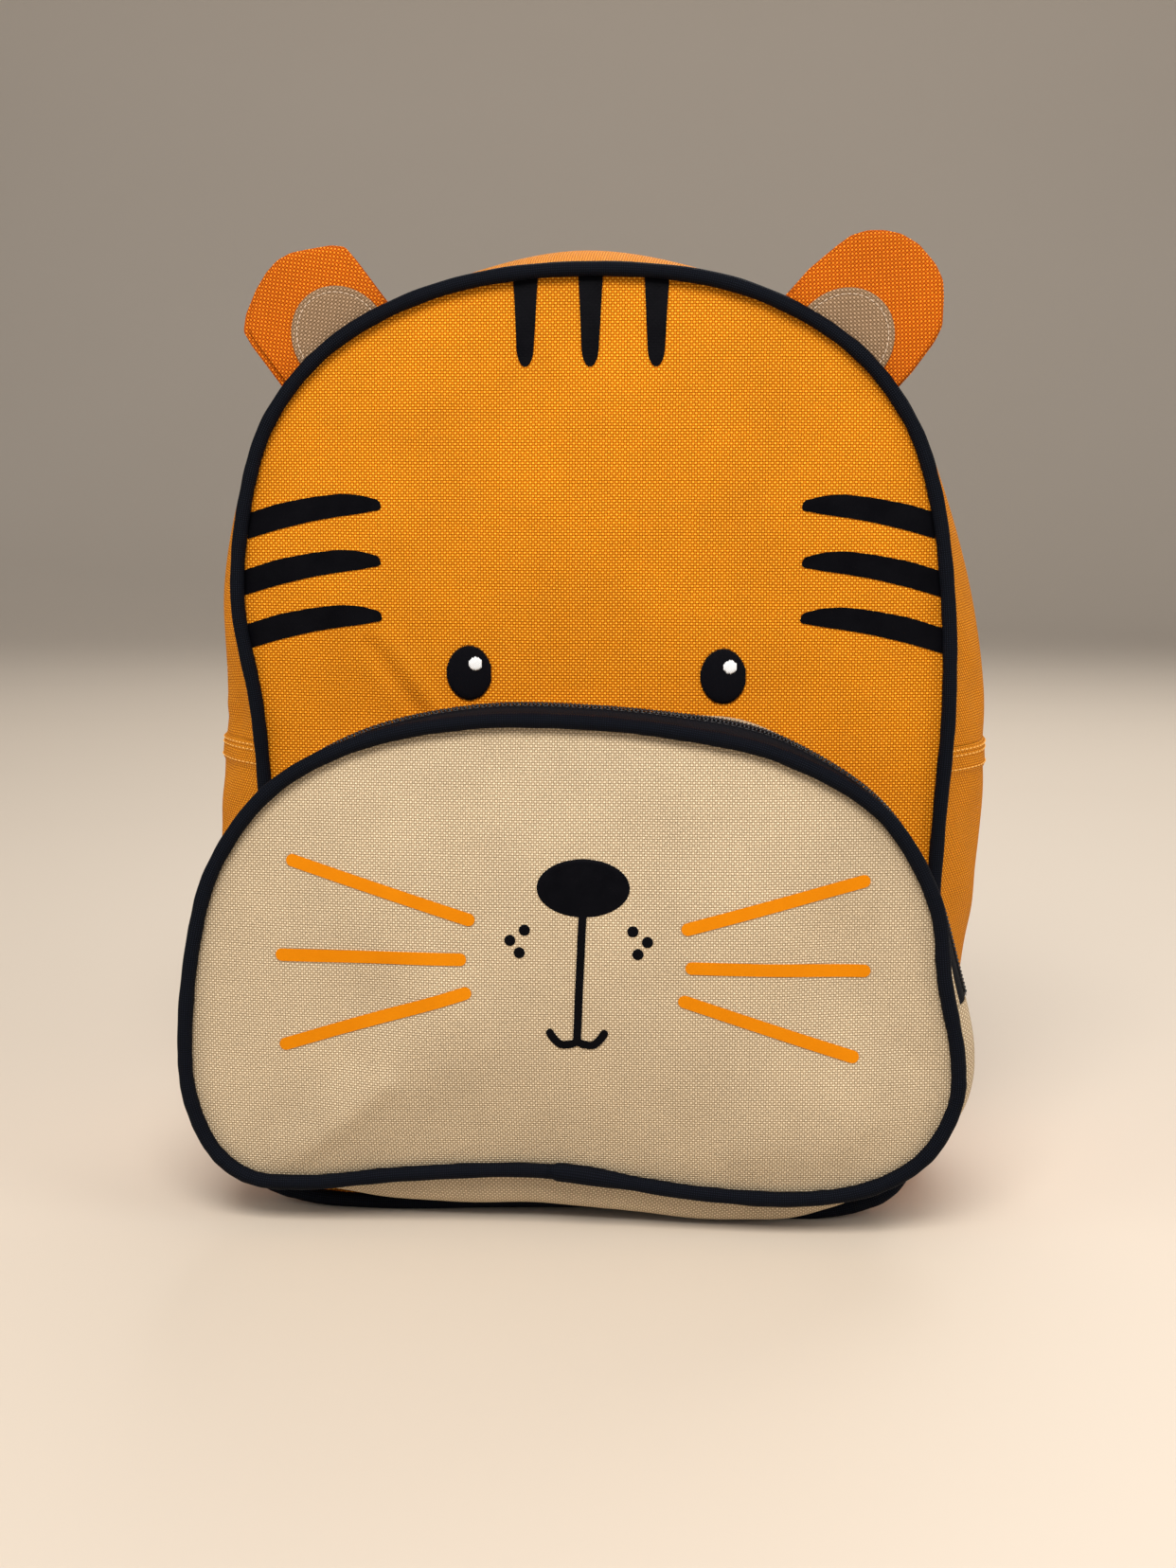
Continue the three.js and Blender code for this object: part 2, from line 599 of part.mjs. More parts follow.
// Muzzle pocket: its front, and the line where its gusset is sewn to the body.
const pocketPipingRing = ringFrom(POCKET_OUTLINE, POCKET_WIDTH, POCKET_HEIGHT, POCKET_BULGE);
const pocketSeam = offsetRing(pocketPipingRing, -PIPING_SEAT);
const pocketCentre = { x: 0, z: POCKET_HEIGHT / 2 };
const POCKET_FRONT = FRONT - POCKET_DEPTH;
const bodyFaceAt = (x, z) => bodyFace(x, z, reachOf(bodySeam, bodyCentre, x, z));
const pinch = 1 - SEWN_WIDTH / POCKET_WIDTH;
const sewnLine = pocketSeam.map((q) => {
  const share = q.x / (POCKET_WIDTH / 2);
  const high = THREE.MathUtils.smoothstep(q.z / POCKET_HEIGHT, 0.6, 0.8);
  const pull = SEWN_PULL.rise * Math.exp(-(((share - SEWN_PULL.x) / SEWN_PULL.width) ** 2));
  const [x, z] = [q.x * (1 - pinch * share ** 4), q.z + SEWN_LIFT + high * (pull - SEWN_DROP)];
  const nearby = [-1, 0, 1].flatMap((side) =>
    [0, FABRIC].map((inset) => {
      const reach = side * 2 * FABRIC;
      return bodyFaceAt(x - q.nx * inset - q.nz * reach, z - q.nz * inset + q.nx * reach);
    }),
  );
  return { x, z, y: Math.min(...nearby) - 2 * SEAM_GAP };
});

function pocketFace(x, z, reach) {
  const swell = POCKET_CROWN + foldHeight(POCKET_FOLDS, x, z, POCKET_WIDTH / 2, POCKET_HEIGHT, POCKET_CROWN);
  return POCKET_FRONT - (1 - reach * reach) * swell;
}
addPiece(
  "pocket_front",
  panelSolid(pocketSeam, pocketCentre, pocketFace, (x, z, reach) => pocketFace(x, z, reach) + FABRIC),
  BEIGE,
);
addPiece("pocket_piping", pipingSolid(pocketSeam, () => POCKET_FRONT), BLACK_CLOTH);

function sewnAt(p) {
  const count = sewnLine.length;
  const wrapped = ((p % count) + count) % count;
  const k = Math.floor(wrapped);
  const a = sewnLine[k];
  const b = sewnLine[(k + 1) % count];
  const mix = (key) => a[key] + (b[key] - a[key]) * (wrapped - k);
  return { x: mix("x"), y: mix("y"), z: mix("z") };
}

function pocketGussetPoint(p, across, lift) {
  const q = ringAt(pocketSeam, p);
  const sewn = sewnAt(p);
  const start = POCKET_FRONT + FABRIC + SEAM_GAP;
  const out = q.bulge * Math.sin(Math.PI * across ** 0.6) + lift;
  return [
    q.x + (sewn.x - q.x) * across + q.nx * out,
    start + (sewn.y - start) * across,
    Math.max(q.z + (sewn.z - q.z) * across + q.nz * out, lift < 0 ? -lift : 0),
  ];
}

function pocketStrip(columns, from, to, rows) {
  const across = (j) => from + ((to - from) * j) / rows;
  return solidBetween(
    columns.length - 1,
    rows,
    (i, j) => pocketGussetPoint(columns[i], across(j), 0),
    (i, j) => pocketGussetPoint(columns[i], across(j), -FABRIC),
  );
}

const POCKET_SPAN = POCKET_DEPTH - FABRIC - SEAM_GAP;
const pocketZipRight = positionAtHeight(pocketSeam, POCKET_ZIP_END, 1);
const pocketZipLeft = positionAtHeight(pocketSeam, POCKET_ZIP_END, -1);
const pocketZipFrom = POCKET_ZIP_SETBACK / POCKET_SPAN;
const pocketZipTo = pocketZipFrom + POCKET_ZIP_WIDTH / POCKET_SPAN;
const pocketGap = SEAM_GAP / POCKET_SPAN;
const pocketEndGap = pocketZipRight - positionAtHeight(pocketSeam, POCKET_ZIP_END - SEAM_GAP, 1);
const archColumns = stations(pocketZipRight, pocketZipLeft);
const underStart = pocketZipLeft - pocketSeam.length + pocketEndGap;
const underColumns = stations(underStart, pocketZipRight - pocketEndGap);

addPiece("pocket_gusset_under", pocketStrip(underColumns, 0, 1, 4), BEIGE);
addPiece("pocket_gusset_front_edge", pocketStrip(archColumns, 0, pocketZipFrom - pocketGap, 1), BEIGE);
addPiece("pocket_gusset_back_strip", pocketStrip(archColumns, pocketZipTo + pocketGap, 1, 2), BEIGE);
const pocketZipPoint = (p, across, lift) =>
  pocketGussetPoint(p, pocketZipFrom + (pocketZipTo - pocketZipFrom) * across, lift);
addPiece("pocket_zip", zipBand(archColumns, POCKET_ZIP_WIDTH, pocketZipPoint), BLACK_CLOTH);

// A zip slider with its pull: one plain piece that rides on the coil near the end of its zip.
function sliderSolid() {
  const body = new THREE.BoxGeometry(SLIDER_WIDTH, SLIDER_LENGTH, SLIDER_HEIGHT);
  body.translate(0, 0, SLIDER_HEIGHT / 2);
  const pull = new THREE.BoxGeometry(PULL_WIDTH, PULL_LENGTH, PULL_THICKNESS);
  pull.translate(0, PULL_LENGTH / 2, SLIDER_HEIGHT - PULL_THICKNESS / 2);
  return toGeometry(toSolid(body).add(toSolid(pull)));
}

function addSlider(name, pointAt, position, toEnd) {
  const coilTop = COIL_HEIGHT - ZIP_SUNK + SEAM_GAP;
  const spot = (p, across) => new THREE.Vector3(...pointAt(p, across, coilTop));
  const along = spot(position + toEnd, 0.5).sub(spot(position, 0.5)).normalize();
  const sideways = spot(position, 0.6).sub(spot(position, 0.4)).normalize();
  const up = new THREE.Vector3().crossVectors(sideways, along).normalize();
  const outward = spot(position, 0.5).sub(new THREE.Vector3(...pointAt(position, 0.5, 0)));
  if (up.dot(outward) < 0) up.negate();
  const across = new THREE.Vector3().crossVectors(along, up).normalize();
  const seat = spot(position, 0.5).addScaledVector(up, SEAM_GAP);
  const turn = new THREE.Matrix4().makeBasis(across, along, up).setPosition(seat);
  addPiece(name, sliderSolid().applyMatrix4(turn), ZIP_METAL);
}
addSlider("main_zip_slider", mainZipPoint, hemLeft - 1.4, 0.5);
addSlider("pocket_zip_slider", pocketZipPoint, pocketZipLeft - 0.6, 0.5);

// Ears: two turned layers of cloth, seated over the seam behind the piping. Their shapes reach below the
// base by a skirt, which the seat cuts away.
const EAR_SKIRT = 8;

function earShape(ear) {
  const half = (ear.width * BODY_WIDTH) / 2;
  const height = ear.height * BODY_HEIGHT;
  const rim = EAR_RIMS[ear.side].map((spot) => new THREE.Vector2(spot.along * half, spot.up * height));
  const feet = [rim[0], rim[rim.length - 1]].map((end) => new THREE.Vector2(end.x, -EAR_SKIRT));
  return new THREE.Shape([feet[0], feet[1], ...rim.reverse()]);
}

function patchShape(shift) {
  const half = PATCH_WIDTH / 2;
  const shape = new THREE.Shape();
  shape.moveTo(shift - half, -EAR_SKIRT);
  shape.lineTo(shift + half, -EAR_SKIRT);
  shape.absellipse(shift, 0, half, PATCH_HEIGHT, 0, Math.PI, false, 0);
  return shape;
}

// The ear stands in its own frame, with X along its base, Y up and Z towards the front.
function earFrame(ear) {
  const q = ringAt(bodyPipingRing, positionAtHeight(bodyPipingRing, BODY_HEIGHT * ear.base, ear.sign));
  const lean = THREE.MathUtils.degToRad(ear.lean);
  const up = new THREE.Vector3(ear.sign * Math.sin(lean), 0, Math.cos(lean));
  const front = new THREE.Vector3(0, -1, 0);
  const along = new THREE.Vector3().crossVectors(up, front);
  return new THREE.Matrix4().makeBasis(along, up, front).setPosition(q.x, 0, q.z);
}

// Everything inside the body's seam grown by a distance, which is cut away from the foot of an ear
function seatSolid(grown) {
  const rim = offsetRing(bodySeam, grown);
  return toSolid(panelSolid(rim, bodyCentre, () => -BODY_DEPTH, () => BODY_DEPTH));
}

const EAR_FRONT = FRONT - PIPING_SEAT + PIPING_RADIUS + SEAM_GAP; // just behind the piping
const earSeat = seatSolid(EAR_SEAT);
const patchSeat = seatSolid(PIPING_SEAT + PIPING_RADIUS + SEAM_GAP / 2);
for (const ear of EARS) {
  const frame = earFrame(ear);
  const cushion = new THREE.ExtrudeGeometry(earShape(ear), {
    depth: EAR_THICKNESS - 2 * EAR_ROUNDING,
    bevelThickness: EAR_ROUNDING,
    bevelSize: EAR_ROUNDING,
    bevelOffset: -EAR_ROUNDING,
    bevelSegments: 1,
  });
  cushion.translate(0, 0, -EAR_FRONT - EAR_THICKNESS + EAR_ROUNDING).applyMatrix4(frame);
  addPiece("ear_" + ear.side, toGeometry(toSolid(cushion).subtract(earSeat)), ORANGE);
  const patch = new THREE.ExtrudeGeometry(patchShape(ear.patch * ear.width * BODY_WIDTH), {
    depth: PATCH_THICKNESS,
    bevelEnabled: false,
    curveSegments: 9,
  });
  patch.translate(0, 0, -EAR_FRONT + SEAM_GAP).applyMatrix4(frame);
  addPiece("ear_patch_" + ear.side, toGeometry(toSolid(patch).subtract(patchSeat)), BEIGE);
}

// Prints and embroidery are cut from a thin skin that follows the panel in front of it.
const bodyPanel = { ring: bodySeam, centre: bodyCentre, face: bodyFace };
const pocketPanel = { ring: pocketSeam, centre: pocketCentre, face: pocketFace };

function skinSolid(panel, lift, thickness) {
  const front = (x, z, reach) => panel.face(x, z, reach) - lift - thickness;
  const back = (x, z, reach) => panel.face(x, z, reach) - lift;
  const clear = offsetRing(panel.ring, PIPING_SEAT - PIPING_RADIUS - SEAM_GAP);
  const inside = panelSolid(clear, panel.centre, () => -2 * BODY_DEPTH, () => BODY_DEPTH);
  return toSolid(panelSolid(panel.ring, panel.centre, front, back)).intersect(toSolid(inside));
}

// A straight prism through the panel, from shapes drawn in X and Z.
function prismThrough(shapes) {
  const depth = 4 * BODY_DEPTH;
  const solids = shapes.map((shape) => {
    const prism = new THREE.ExtrudeGeometry(shape, { depth, bevelEnabled: false, curveSegments: 6 });
    return toSolid(prism.rotateX(Math.PI / 2).translate(0, depth / 2, 0));
  });
  return solids.reduce((whole, solid) => whole.add(solid));
}

function addPrint(name, panel, shapes, finish, thickness = FILM, lift = SEAM_GAP) {
  addPiece(name, toGeometry(skinSolid(panel, lift, thickness).intersect(prismThrough(shapes))), finish);
}

function ellipseShape(x, z, width, height) {
  return new THREE.Shape().absellipse(x, z, width / 2, height / 2, 0, 2 * Math.PI, false, 0);
}

// A stroke of even width with round ends, along a list of points.
function strokeShape(points, width) {
  const half = width / 2;
  const path = points.map(([x, z]) => new THREE.Vector2(x, z));
  const normal = (k) => {
    const ahead = path[Math.min(k + 1, path.length - 1)];
    const behind = path[Math.max(k - 1, 0)];
    return new THREE.Vector2(behind.y - ahead.y, ahead.x - behind.x).normalize().multiplyScalar(half);
  };
  const cap = (k, start) =>
    [0.25, 0.5, 0.75].map((share) => {
      const angle = start - share * Math.PI;
      return new THREE.Vector2(path[k].x + half * Math.cos(angle), path[k].y + half * Math.sin(angle));
    });
  const last = path.length - 1;
  const upper = path.map((point, k) => point.clone().add(normal(k)));
  const lower = path.map((point, k) => point.clone().sub(normal(k))).reverse();
  const farCap = cap(last, normal(last).angle());
  const nearCap = cap(0, normal(0).angle() + Math.PI);
  return new THREE.Shape([...upper, ...farCap, ...lower, ...nearCap]);
}

const pocketSpot = (x, up) => [(x * POCKET_WIDTH) / 2, up * POCKET_HEIGHT];

for (const eye of EYES) {
  const x = (eye.x * BODY_WIDTH) / 2;
  const z = POCKET_HEIGHT + eye.over * EYE_HEIGHT;
  const [glintX, glintZ] = [x + GLINT_SHIFT.x * EYE_WIDTH, z + GLINT_SHIFT.up * EYE_HEIGHT];
  const iris = ellipseShape(x, z, EYE_WIDTH, EYE_HEIGHT);
  const glint = ellipseShape(glintX, glintZ, GLINT_DIAMETER, GLINT_DIAMETER);
  addPrint("eye_" + eye.side, bodyPanel, [iris], BLACK_CLOTH, EMBROIDERY);
  addPrint("eye_glint_" + eye.side, bodyPanel, [glint], WHITE_THREAD, FILM, 2 * SEAM_GAP + EMBROIDERY);
}

function topStripeShape(x) {
  const top = BODY_HEIGHT;
  const foot = BODY_HEIGHT - PIPING_RADIUS - 2 * PIPING_SEAT - STRIPE_LENGTH + SEAM_GAP;
  const waist = foot + STRIPE_LENGTH * 0.3;
  const half = STRIPE_WIDTH / 2;
  const shape = new THREE.Shape();
  shape.moveTo(x - half, top);
  shape.lineTo(x - half * 0.7, waist);
  shape.quadraticCurveTo(x - half * 0.55, foot, x, foot);
  shape.quadraticCurveTo(x + half * 0.55, foot, x + half * 0.7, waist);
  shape.lineTo(x + half, top);
  shape.closePath();
  return shape;
}
for (const stripe of TOP_STRIPES) {
  const shape = topStripeShape((stripe.x * BODY_WIDTH) / 2);
  addPrint("stripe_top_" + stripe.place, bodyPanel, [shape], BLACK_PRINT);
}

function sideStripeShape(stripe, sign) {
  const half = BODY_WIDTH / 2;
  const z = stripe.up * BODY_HEIGHT;
  const spot = (out, rise) => new THREE.Vector2(sign * (stripe.tip + out) * half, z + rise * half);
  const upper = SIDE_STRIPE_EDGES.map((edge) => spot(edge.out, edge.upper));
  const lower = SIDE_STRIPE_EDGES.map((edge) => spot(edge.out, edge.lower)).reverse();
  const points = [spot(0, 0), ...upper, ...lower];
  return new THREE.Shape(sign > 0 ? points.reverse() : points);
}
const SIDES = [
  { side: "left", sign: -1 },
  { side: "right", sign: 1 },
];
for (const { side, sign } of SIDES)
  for (const stripe of SIDE_STRIPES)
    addPrint("stripe_" + side + "_" + stripe.place, bodyPanel, [sideStripeShape(stripe, sign)], BLACK_PRINT);

// The nose and the mouth are one print: an oval, a line down from it and two small hooks.
function noseAndMouth() {
  const [noseX, noseZ] = pocketSpot(NOSE.x, NOSE.up);
  const [footX, footZ] = pocketSpot(MOUTH_FOOT.x, MOUTH_FOOT.up);
  const hook = (sign) => {
    const turn = [0, 0.25, 0.5, 0.75, 1].map((share) => share * Math.PI * 0.85);
    const half = MOUTH_HOOK_WIDTH / 2;
    return turn.map((angle) => {
      const dip = MOUTH_HOOK_HEIGHT * 0.4 * Math.sin(angle);
      const rise = MOUTH_HOOK_HEIGHT * 0.6 * Math.max(0, -Math.cos(angle)) ** 2;
      return [footX + sign * half * (1 - Math.cos(angle)), footZ - dip + rise];
    });
  };
  return [
    ellipseShape(noseX, noseZ, NOSE_WIDTH, NOSE_HEIGHT),
    strokeShape([[noseX, noseZ], [footX, footZ]], MOUTH_STROKE),
    strokeShape(hook(1), MOUTH_STROKE),
    strokeShape(hook(-1), MOUTH_STROKE),
  ];
}
addPrint("nose_and_mouth", pocketPanel, noseAndMouth(), BLACK_PRINT);

for (const { side, sign } of SIDES) {
  for (const freckle of FRECKLES) {
    const [x, z] = pocketSpot(sign * freckle.x, freckle.up);
    const dot = ellipseShape(x, z, FRECKLE_DIAMETER, FRECKLE_DIAMETER);
    addPrint("freckle_" + side + "_" + freckle.place, pocketPanel, [dot], BLACK_PRINT);
  }
  for (const whisker of WHISKERS.filter((row) => row.side === side)) {
    const inner = pocketSpot(sign * whisker.fromX, whisker.fromUp);
    const outer = pocketSpot(sign * whisker.toX, whisker.toUp);
    const stroke = strokeShape([inner, outer], WHISKER_STROKE);
    addPrint("whisker_" + side + "_" + whisker.place, pocketPanel, [stroke], ORANGE_PRINT);
  }
}

// Shoulder straps: a padded part from the top of the back, a buckle, and webbing to the lower corner.
function strapSpot(sign, row, width, thickness) {
  const x = sign * (STRAP_TOP_REACH + (STRAP_FOOT_REACH - STRAP_TOP_REACH) * row.out);
  const z = STRAP_TOP_HEIGHT + (STRAP_FOOT_HEIGHT - STRAP_TOP_HEIGHT) * row.down;
  const nearby = [-1, 0, 1].flatMap((side) =>
    [-1, 1].map((end) => backFaceAt(x + (side * width) / 2, z + (end * width) / 4)),
  );
  const face = Math.max(...nearby);
  return new THREE.Vector3(x, face + SEAM_GAP + thickness / 2 + row.bow * STRAP_BOW, z);
}

// Frames along a strap: ahead is its run, wide lies across it and flat is its outward normal. At a bend the
// thickness is mitred, so that both of its faces keep their distance.
function framesAlong(points, across) {
  const last = points.length - 1;
  const runs = points.slice(1).map((point, k) => point.clone().sub(points[k]).normalize());
  return points.map((point, k) => {
    const before = runs[Math.max(k - 1, 0)];
    const after = runs[Math.min(k, last - 1)];
    const ahead = before.clone().add(after).normalize();
    const wide = across.clone().addScaledVector(ahead, -ahead.dot(across)).normalize();
    const flat = new THREE.Vector3().crossVectors(wide, ahead);
    return { point, ahead, wide, flat, mitre: 1 / ahead.dot(after) };
  });
}

function ribbonSolid(frames, width, thickness) {
  const edge = (side) => (i, j) => {
    const frame = frames[j];
    const spot = frame.point.clone().addScaledVector(frame.wide, (i === 0 ? -1 : 1) * (width / 2));
    return spot.addScaledVector(frame.flat, (side * frame.mitre * thickness) / 2).toArray();
  };
  return solidBetween(1, frames.length - 1, edge(1), edge(-1));
}

// The pad is thick in the middle and pressed thin at its edges and at its sewn top.
function padSolid(frames) {
  const profile = [-1, -0.86, -0.4, 0.4, 0.86, 1];
  const fullness = [0.3, 0.86, 1, 1, 0.86, 0.3];
  const half = STRAP_PAD_THICKNESS / 2;
  const taper = (j) => {
    const share = j / (frames.length - 1);
    return { wide: 1 - 0.35 * share ** 4, thick: 0.45 + 0.55 * Math.min(1, 5 * share, 5 * (1 - share)) };
  };
  const side = (sign) => (i, j) => {
    const frame = frames[j];
    const { wide, thick } = taper(j);
    const spot = frame.point.clone().addScaledVector(frame.wide, (profile[i] * wide * STRAP_PAD_WIDTH) / 2);
    return spot.addScaledVector(frame.flat, sign * half * fullness[i] * thick).toArray();
  };
  return solidBetween(profile.length - 1, frames.length - 1, side(1), side(-1));
}

const BUCKLE_LENGTH = 3 * BUCKLE_BAR + 2 * BUCKLE_SLOT;

// A ladder buckle: a frame with three bars, lying along Y with its flat side along Z.
function buckleSolid() {
  const block = (width, length, height) => toSolid(new THREE.BoxGeometry(width, length, height));
  const slotWidth = BUCKLE_WIDTH - 2 * BUCKLE_BAR;
  const slotAt = (y) => block(slotWidth, BUCKLE_SLOT, 2 * BUCKLE_THICKNESS).translate(0, y, 0);
  const step = (BUCKLE_BAR + BUCKLE_SLOT) / 2;
  const frame = block(BUCKLE_WIDTH, BUCKLE_LENGTH, BUCKLE_THICKNESS);
  return toGeometry(frame.subtract(slotAt(step)).subtract(slotAt(-step)));
}

const ACROSS = new THREE.Vector3(-1, 0, 0);

for (const { side, sign } of SIDES) {
  const padPoints = STRAP_COURSE.map((row) => strapSpot(sign, row, STRAP_PAD_WIDTH, STRAP_PAD_THICKNESS));
  const padFrames = framesAlong(padPoints, ACROSS);
  addPiece("strap_pad_" + side, padSolid(padFrames), ORANGE);

  // The buckle hangs from the pad's end, in line with it.
  const end = padFrames[padFrames.length - 1];
  const middle = end.point.clone().addScaledVector(end.ahead, SEAM_GAP + BUCKLE_LENGTH / 2);
  const turn = new THREE.Matrix4().makeBasis(end.wide, end.ahead, end.flat).setPosition(middle);
  addPiece("strap_buckle_" + side, buckleSolid().applyMatrix4(turn), BLACK_PLASTIC);

  // The webbing comes up behind the lower bars, turns over the middle bar and hangs down as a tail.
  const off = BUCKLE_THICKNESS / 2 + SEAM_GAP + WEBBING / 2;
  const bend = BUCKLE_BAR / 2 + SEAM_GAP + WEBBING / 2;
  const local = (run, rise) =>
    middle.clone().addScaledVector(end.ahead, run).addScaledVector(end.flat, rise);
  const course = [
    ...WEBBING_COURSE.map((row) => strapSpot(sign, row, WEBBING_WIDTH, WEBBING)).reverse(),
    local(BUCKLE_LENGTH / 2, -off),
    local(-bend, -off),
    local(-bend, off),
    local(BUCKLE_LENGTH / 2, off),
    local(BUCKLE_LENGTH / 2 + TAIL_LENGTH, off + WEBBING),
  ];
  const webbing = ribbonSolid(framesAlong(course, end.wide), WEBBING_WIDTH, WEBBING);
  addPiece("strap_webbing_" + side, webbing, BLACK_CLOTH);
}

// Hanging loop: webbing folded in two, with both ends sewn to the top of the back.
const LOOP_COURSE = [
  { back: 0, rise: -0.7, layer: 0 },
  { back: 0, rise: 0.1, layer: 0 },
  { back: 0.08, rise: 0.65, layer: 0 },
  { back: 0.3, rise: 1, layer: 0 },
  { back: 0.75, rise: 1, layer: 0 },
  { back: 1, rise: 0.6, layer: 0 },
  { back: 0.85, rise: 0.1, layer: 0 },
  { back: 0.3, rise: -0.2, layer: 1 },
  { back: 0, rise: -0.4, layer: 1 },
  { back: 0, rise: -0.7, layer: 1 },
];
const loopFoot = BODY_HEIGHT - 2 * PIPING_DIAMETER - 3 * WEBBING;
const loopLow = loopFoot - LOOP_HEIGHT;
const loopBack = backFaceAt(0, loopLow) + SEAM_GAP + WEBBING / 2;
const loopPoints = LOOP_COURSE.map((row) => {
  const out = row.back * LOOP_REACH + row.layer * (WEBBING + SEAM_GAP);
  return new THREE.Vector3(0, loopBack + out, loopFoot + row.rise * LOOP_HEIGHT);
});
addPiece("hanging_loop", ribbonSolid(framesAlong(loopPoints, ACROSS), LOOP_WIDTH, WEBBING), BLACK_CLOTH);

export default pack;
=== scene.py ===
import math

import bpy
import bmesh
import numpy as np
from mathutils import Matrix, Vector


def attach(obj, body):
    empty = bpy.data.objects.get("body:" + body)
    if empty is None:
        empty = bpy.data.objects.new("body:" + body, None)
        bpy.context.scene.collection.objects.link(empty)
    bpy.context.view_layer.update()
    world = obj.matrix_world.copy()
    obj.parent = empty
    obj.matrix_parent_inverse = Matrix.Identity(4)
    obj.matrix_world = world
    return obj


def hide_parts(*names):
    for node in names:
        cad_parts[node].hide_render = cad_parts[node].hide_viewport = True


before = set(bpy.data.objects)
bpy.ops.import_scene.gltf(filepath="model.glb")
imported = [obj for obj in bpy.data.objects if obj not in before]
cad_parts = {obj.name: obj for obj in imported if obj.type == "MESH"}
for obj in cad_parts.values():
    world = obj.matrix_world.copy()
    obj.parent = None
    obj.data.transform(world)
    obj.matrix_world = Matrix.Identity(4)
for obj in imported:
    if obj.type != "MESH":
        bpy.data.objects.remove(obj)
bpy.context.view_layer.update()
scene = bpy.context.scene

# ---- Camera, floor and lights -----------------------------------------------------------------------------
# The bag is looked at from a little above its face, and stands on a pale floor that curves up behind it.
# The light is a broad window-like lamp above, a softer one from each side and a pale room.
camera = bpy.data.objects.new("camera", bpy.data.cameras.new("camera"))
scene.collection.objects.link(camera)
camera.location = (0.04734, -0.7415, 0.249)
camera.rotation_euler = (math.radians(81), 0, math.radians(4))
camera.data.lens = 48.1
camera.data.sensor_width = 36
scene.camera = camera
scene.view_settings.view_transform = "Standard"


def put(tree, kind, props=None, **inputs):
    """A shader node with its inputs set: a socket is linked, a value is set. i0, i1 stand for unnamed inputs."""
    made = tree.nodes.new(kind)
    for key, value in (props or {}).items():
        setattr(made, key, value)
    for key, value in inputs.items():
        numbered = key[0] == "i" and key[1:].isdigit()
        socket = made.inputs[int(key[1:])] if numbered else made.inputs[key.replace("_", " ")]
        if isinstance(value, bpy.types.NodeSocket):
            tree.links.new(value, socket)
        else:
            socket.default_value = value
    return made


def sum_of(tree, operation, a, b=0.5, c=0.5):
    return put(tree, "ShaderNodeMath", {"operation": operation}, i0=a, i1=b, i2=c).outputs[0]


def noise(tree, place, scale, detail, roughness=0.5):
    return put(tree, "ShaderNodeTexNoise", Vector=place, Scale=scale, Detail=detail, Roughness=roughness).outputs[0]


def remap(tree, value, low, high, to_low, to_high):
    return put(tree, "ShaderNodeMapRange", Value=value, i1=low, i2=high, i3=to_low, i4=to_high).outputs[0]


def blend(tree, share, first, second):
    """A colour between two, which are given as colours or sockets."""
    pair = [(*c, 1) if isinstance(c, tuple) else c for c in (first, second)]
    return put(tree, "ShaderNodeMix", {"data_type": "RGBA"}, Factor=share, i6=pair[0], i7=pair[1]).outputs[2]


def raised(tree, height, strength, distance):
    return put(tree, "ShaderNodeBump", Height=height, Strength=strength, Distance=distance).outputs[0]


def object_place(tree):
    return put(tree, "ShaderNodeTexCoord").outputs["Object"]


def node_group(name, sockets):
    """An empty shader group with its sockets: one letter for the kind, then in or out, then the names."""
    kinds = {"V": "NodeSocketVector", "F": "NodeSocketFloat", "C": "NodeSocketColor"}
    group = bpy.data.node_groups.new(name, "ShaderNodeTree")
    for label, kind, direction in sockets:
        group.interface.new_socket(name=label, in_out=direction, socket_type=kinds[kind])
    return group, group.nodes.new("NodeGroupInput").outputs


def new_material(name):
    material = bpy.data.materials.new(name)
    material.use_nodes = True
    material.node_tree.nodes.clear()
    return material, material.node_tree


def surface(tree, **inputs):
    """The material's own surface shader and its output."""
    shader = put(tree, "ShaderNodeBsdfPrincipled", **inputs)
    put(tree, "ShaderNodeOutputMaterial", Surface=shader.outputs[0])
    return shader


FLOOR_DEPTH = 5.0
FLOOR_CURVE = 1.2
bpy.ops.object.select_all(action="DESELECT")
bpy.ops.mesh.primitive_grid_add(x_subdivisions=8, y_subdivisions=96, size=1, location=(0, 0, 0))
floor = bpy.context.object
floor.name = "studio_floor"
for v in floor.data.vertices:
    run = (v.co.y + 0.5) * (FLOOR_DEPTH + FLOOR_CURVE * math.pi / 2 + 3) - FLOOR_DEPTH + 2
    turn = min(max((run - 2) / FLOOR_CURVE, 0), math.pi / 2)
    rise = max(run - 2 - FLOOR_CURVE * math.pi / 2, 0)
    y = min(run, 2) + FLOOR_CURVE * math.sin(turn)
    v.co = (v.co.x * 9, y, FLOOR_CURVE * (1 - math.cos(turn)) + rise)
bpy.ops.object.shade_smooth()
floor_paint, tree = new_material("pale_floor")
grain = put(tree, "ShaderNodeTexNoise", Scale=6.0, Detail=4.0).outputs[0]
surface(tree, Base_Color=blend(tree, grain, (0.56, 0.48, 0.39), (0.61, 0.53, 0.44)), Roughness=0.6)
floor.data.materials.append(floor_paint)

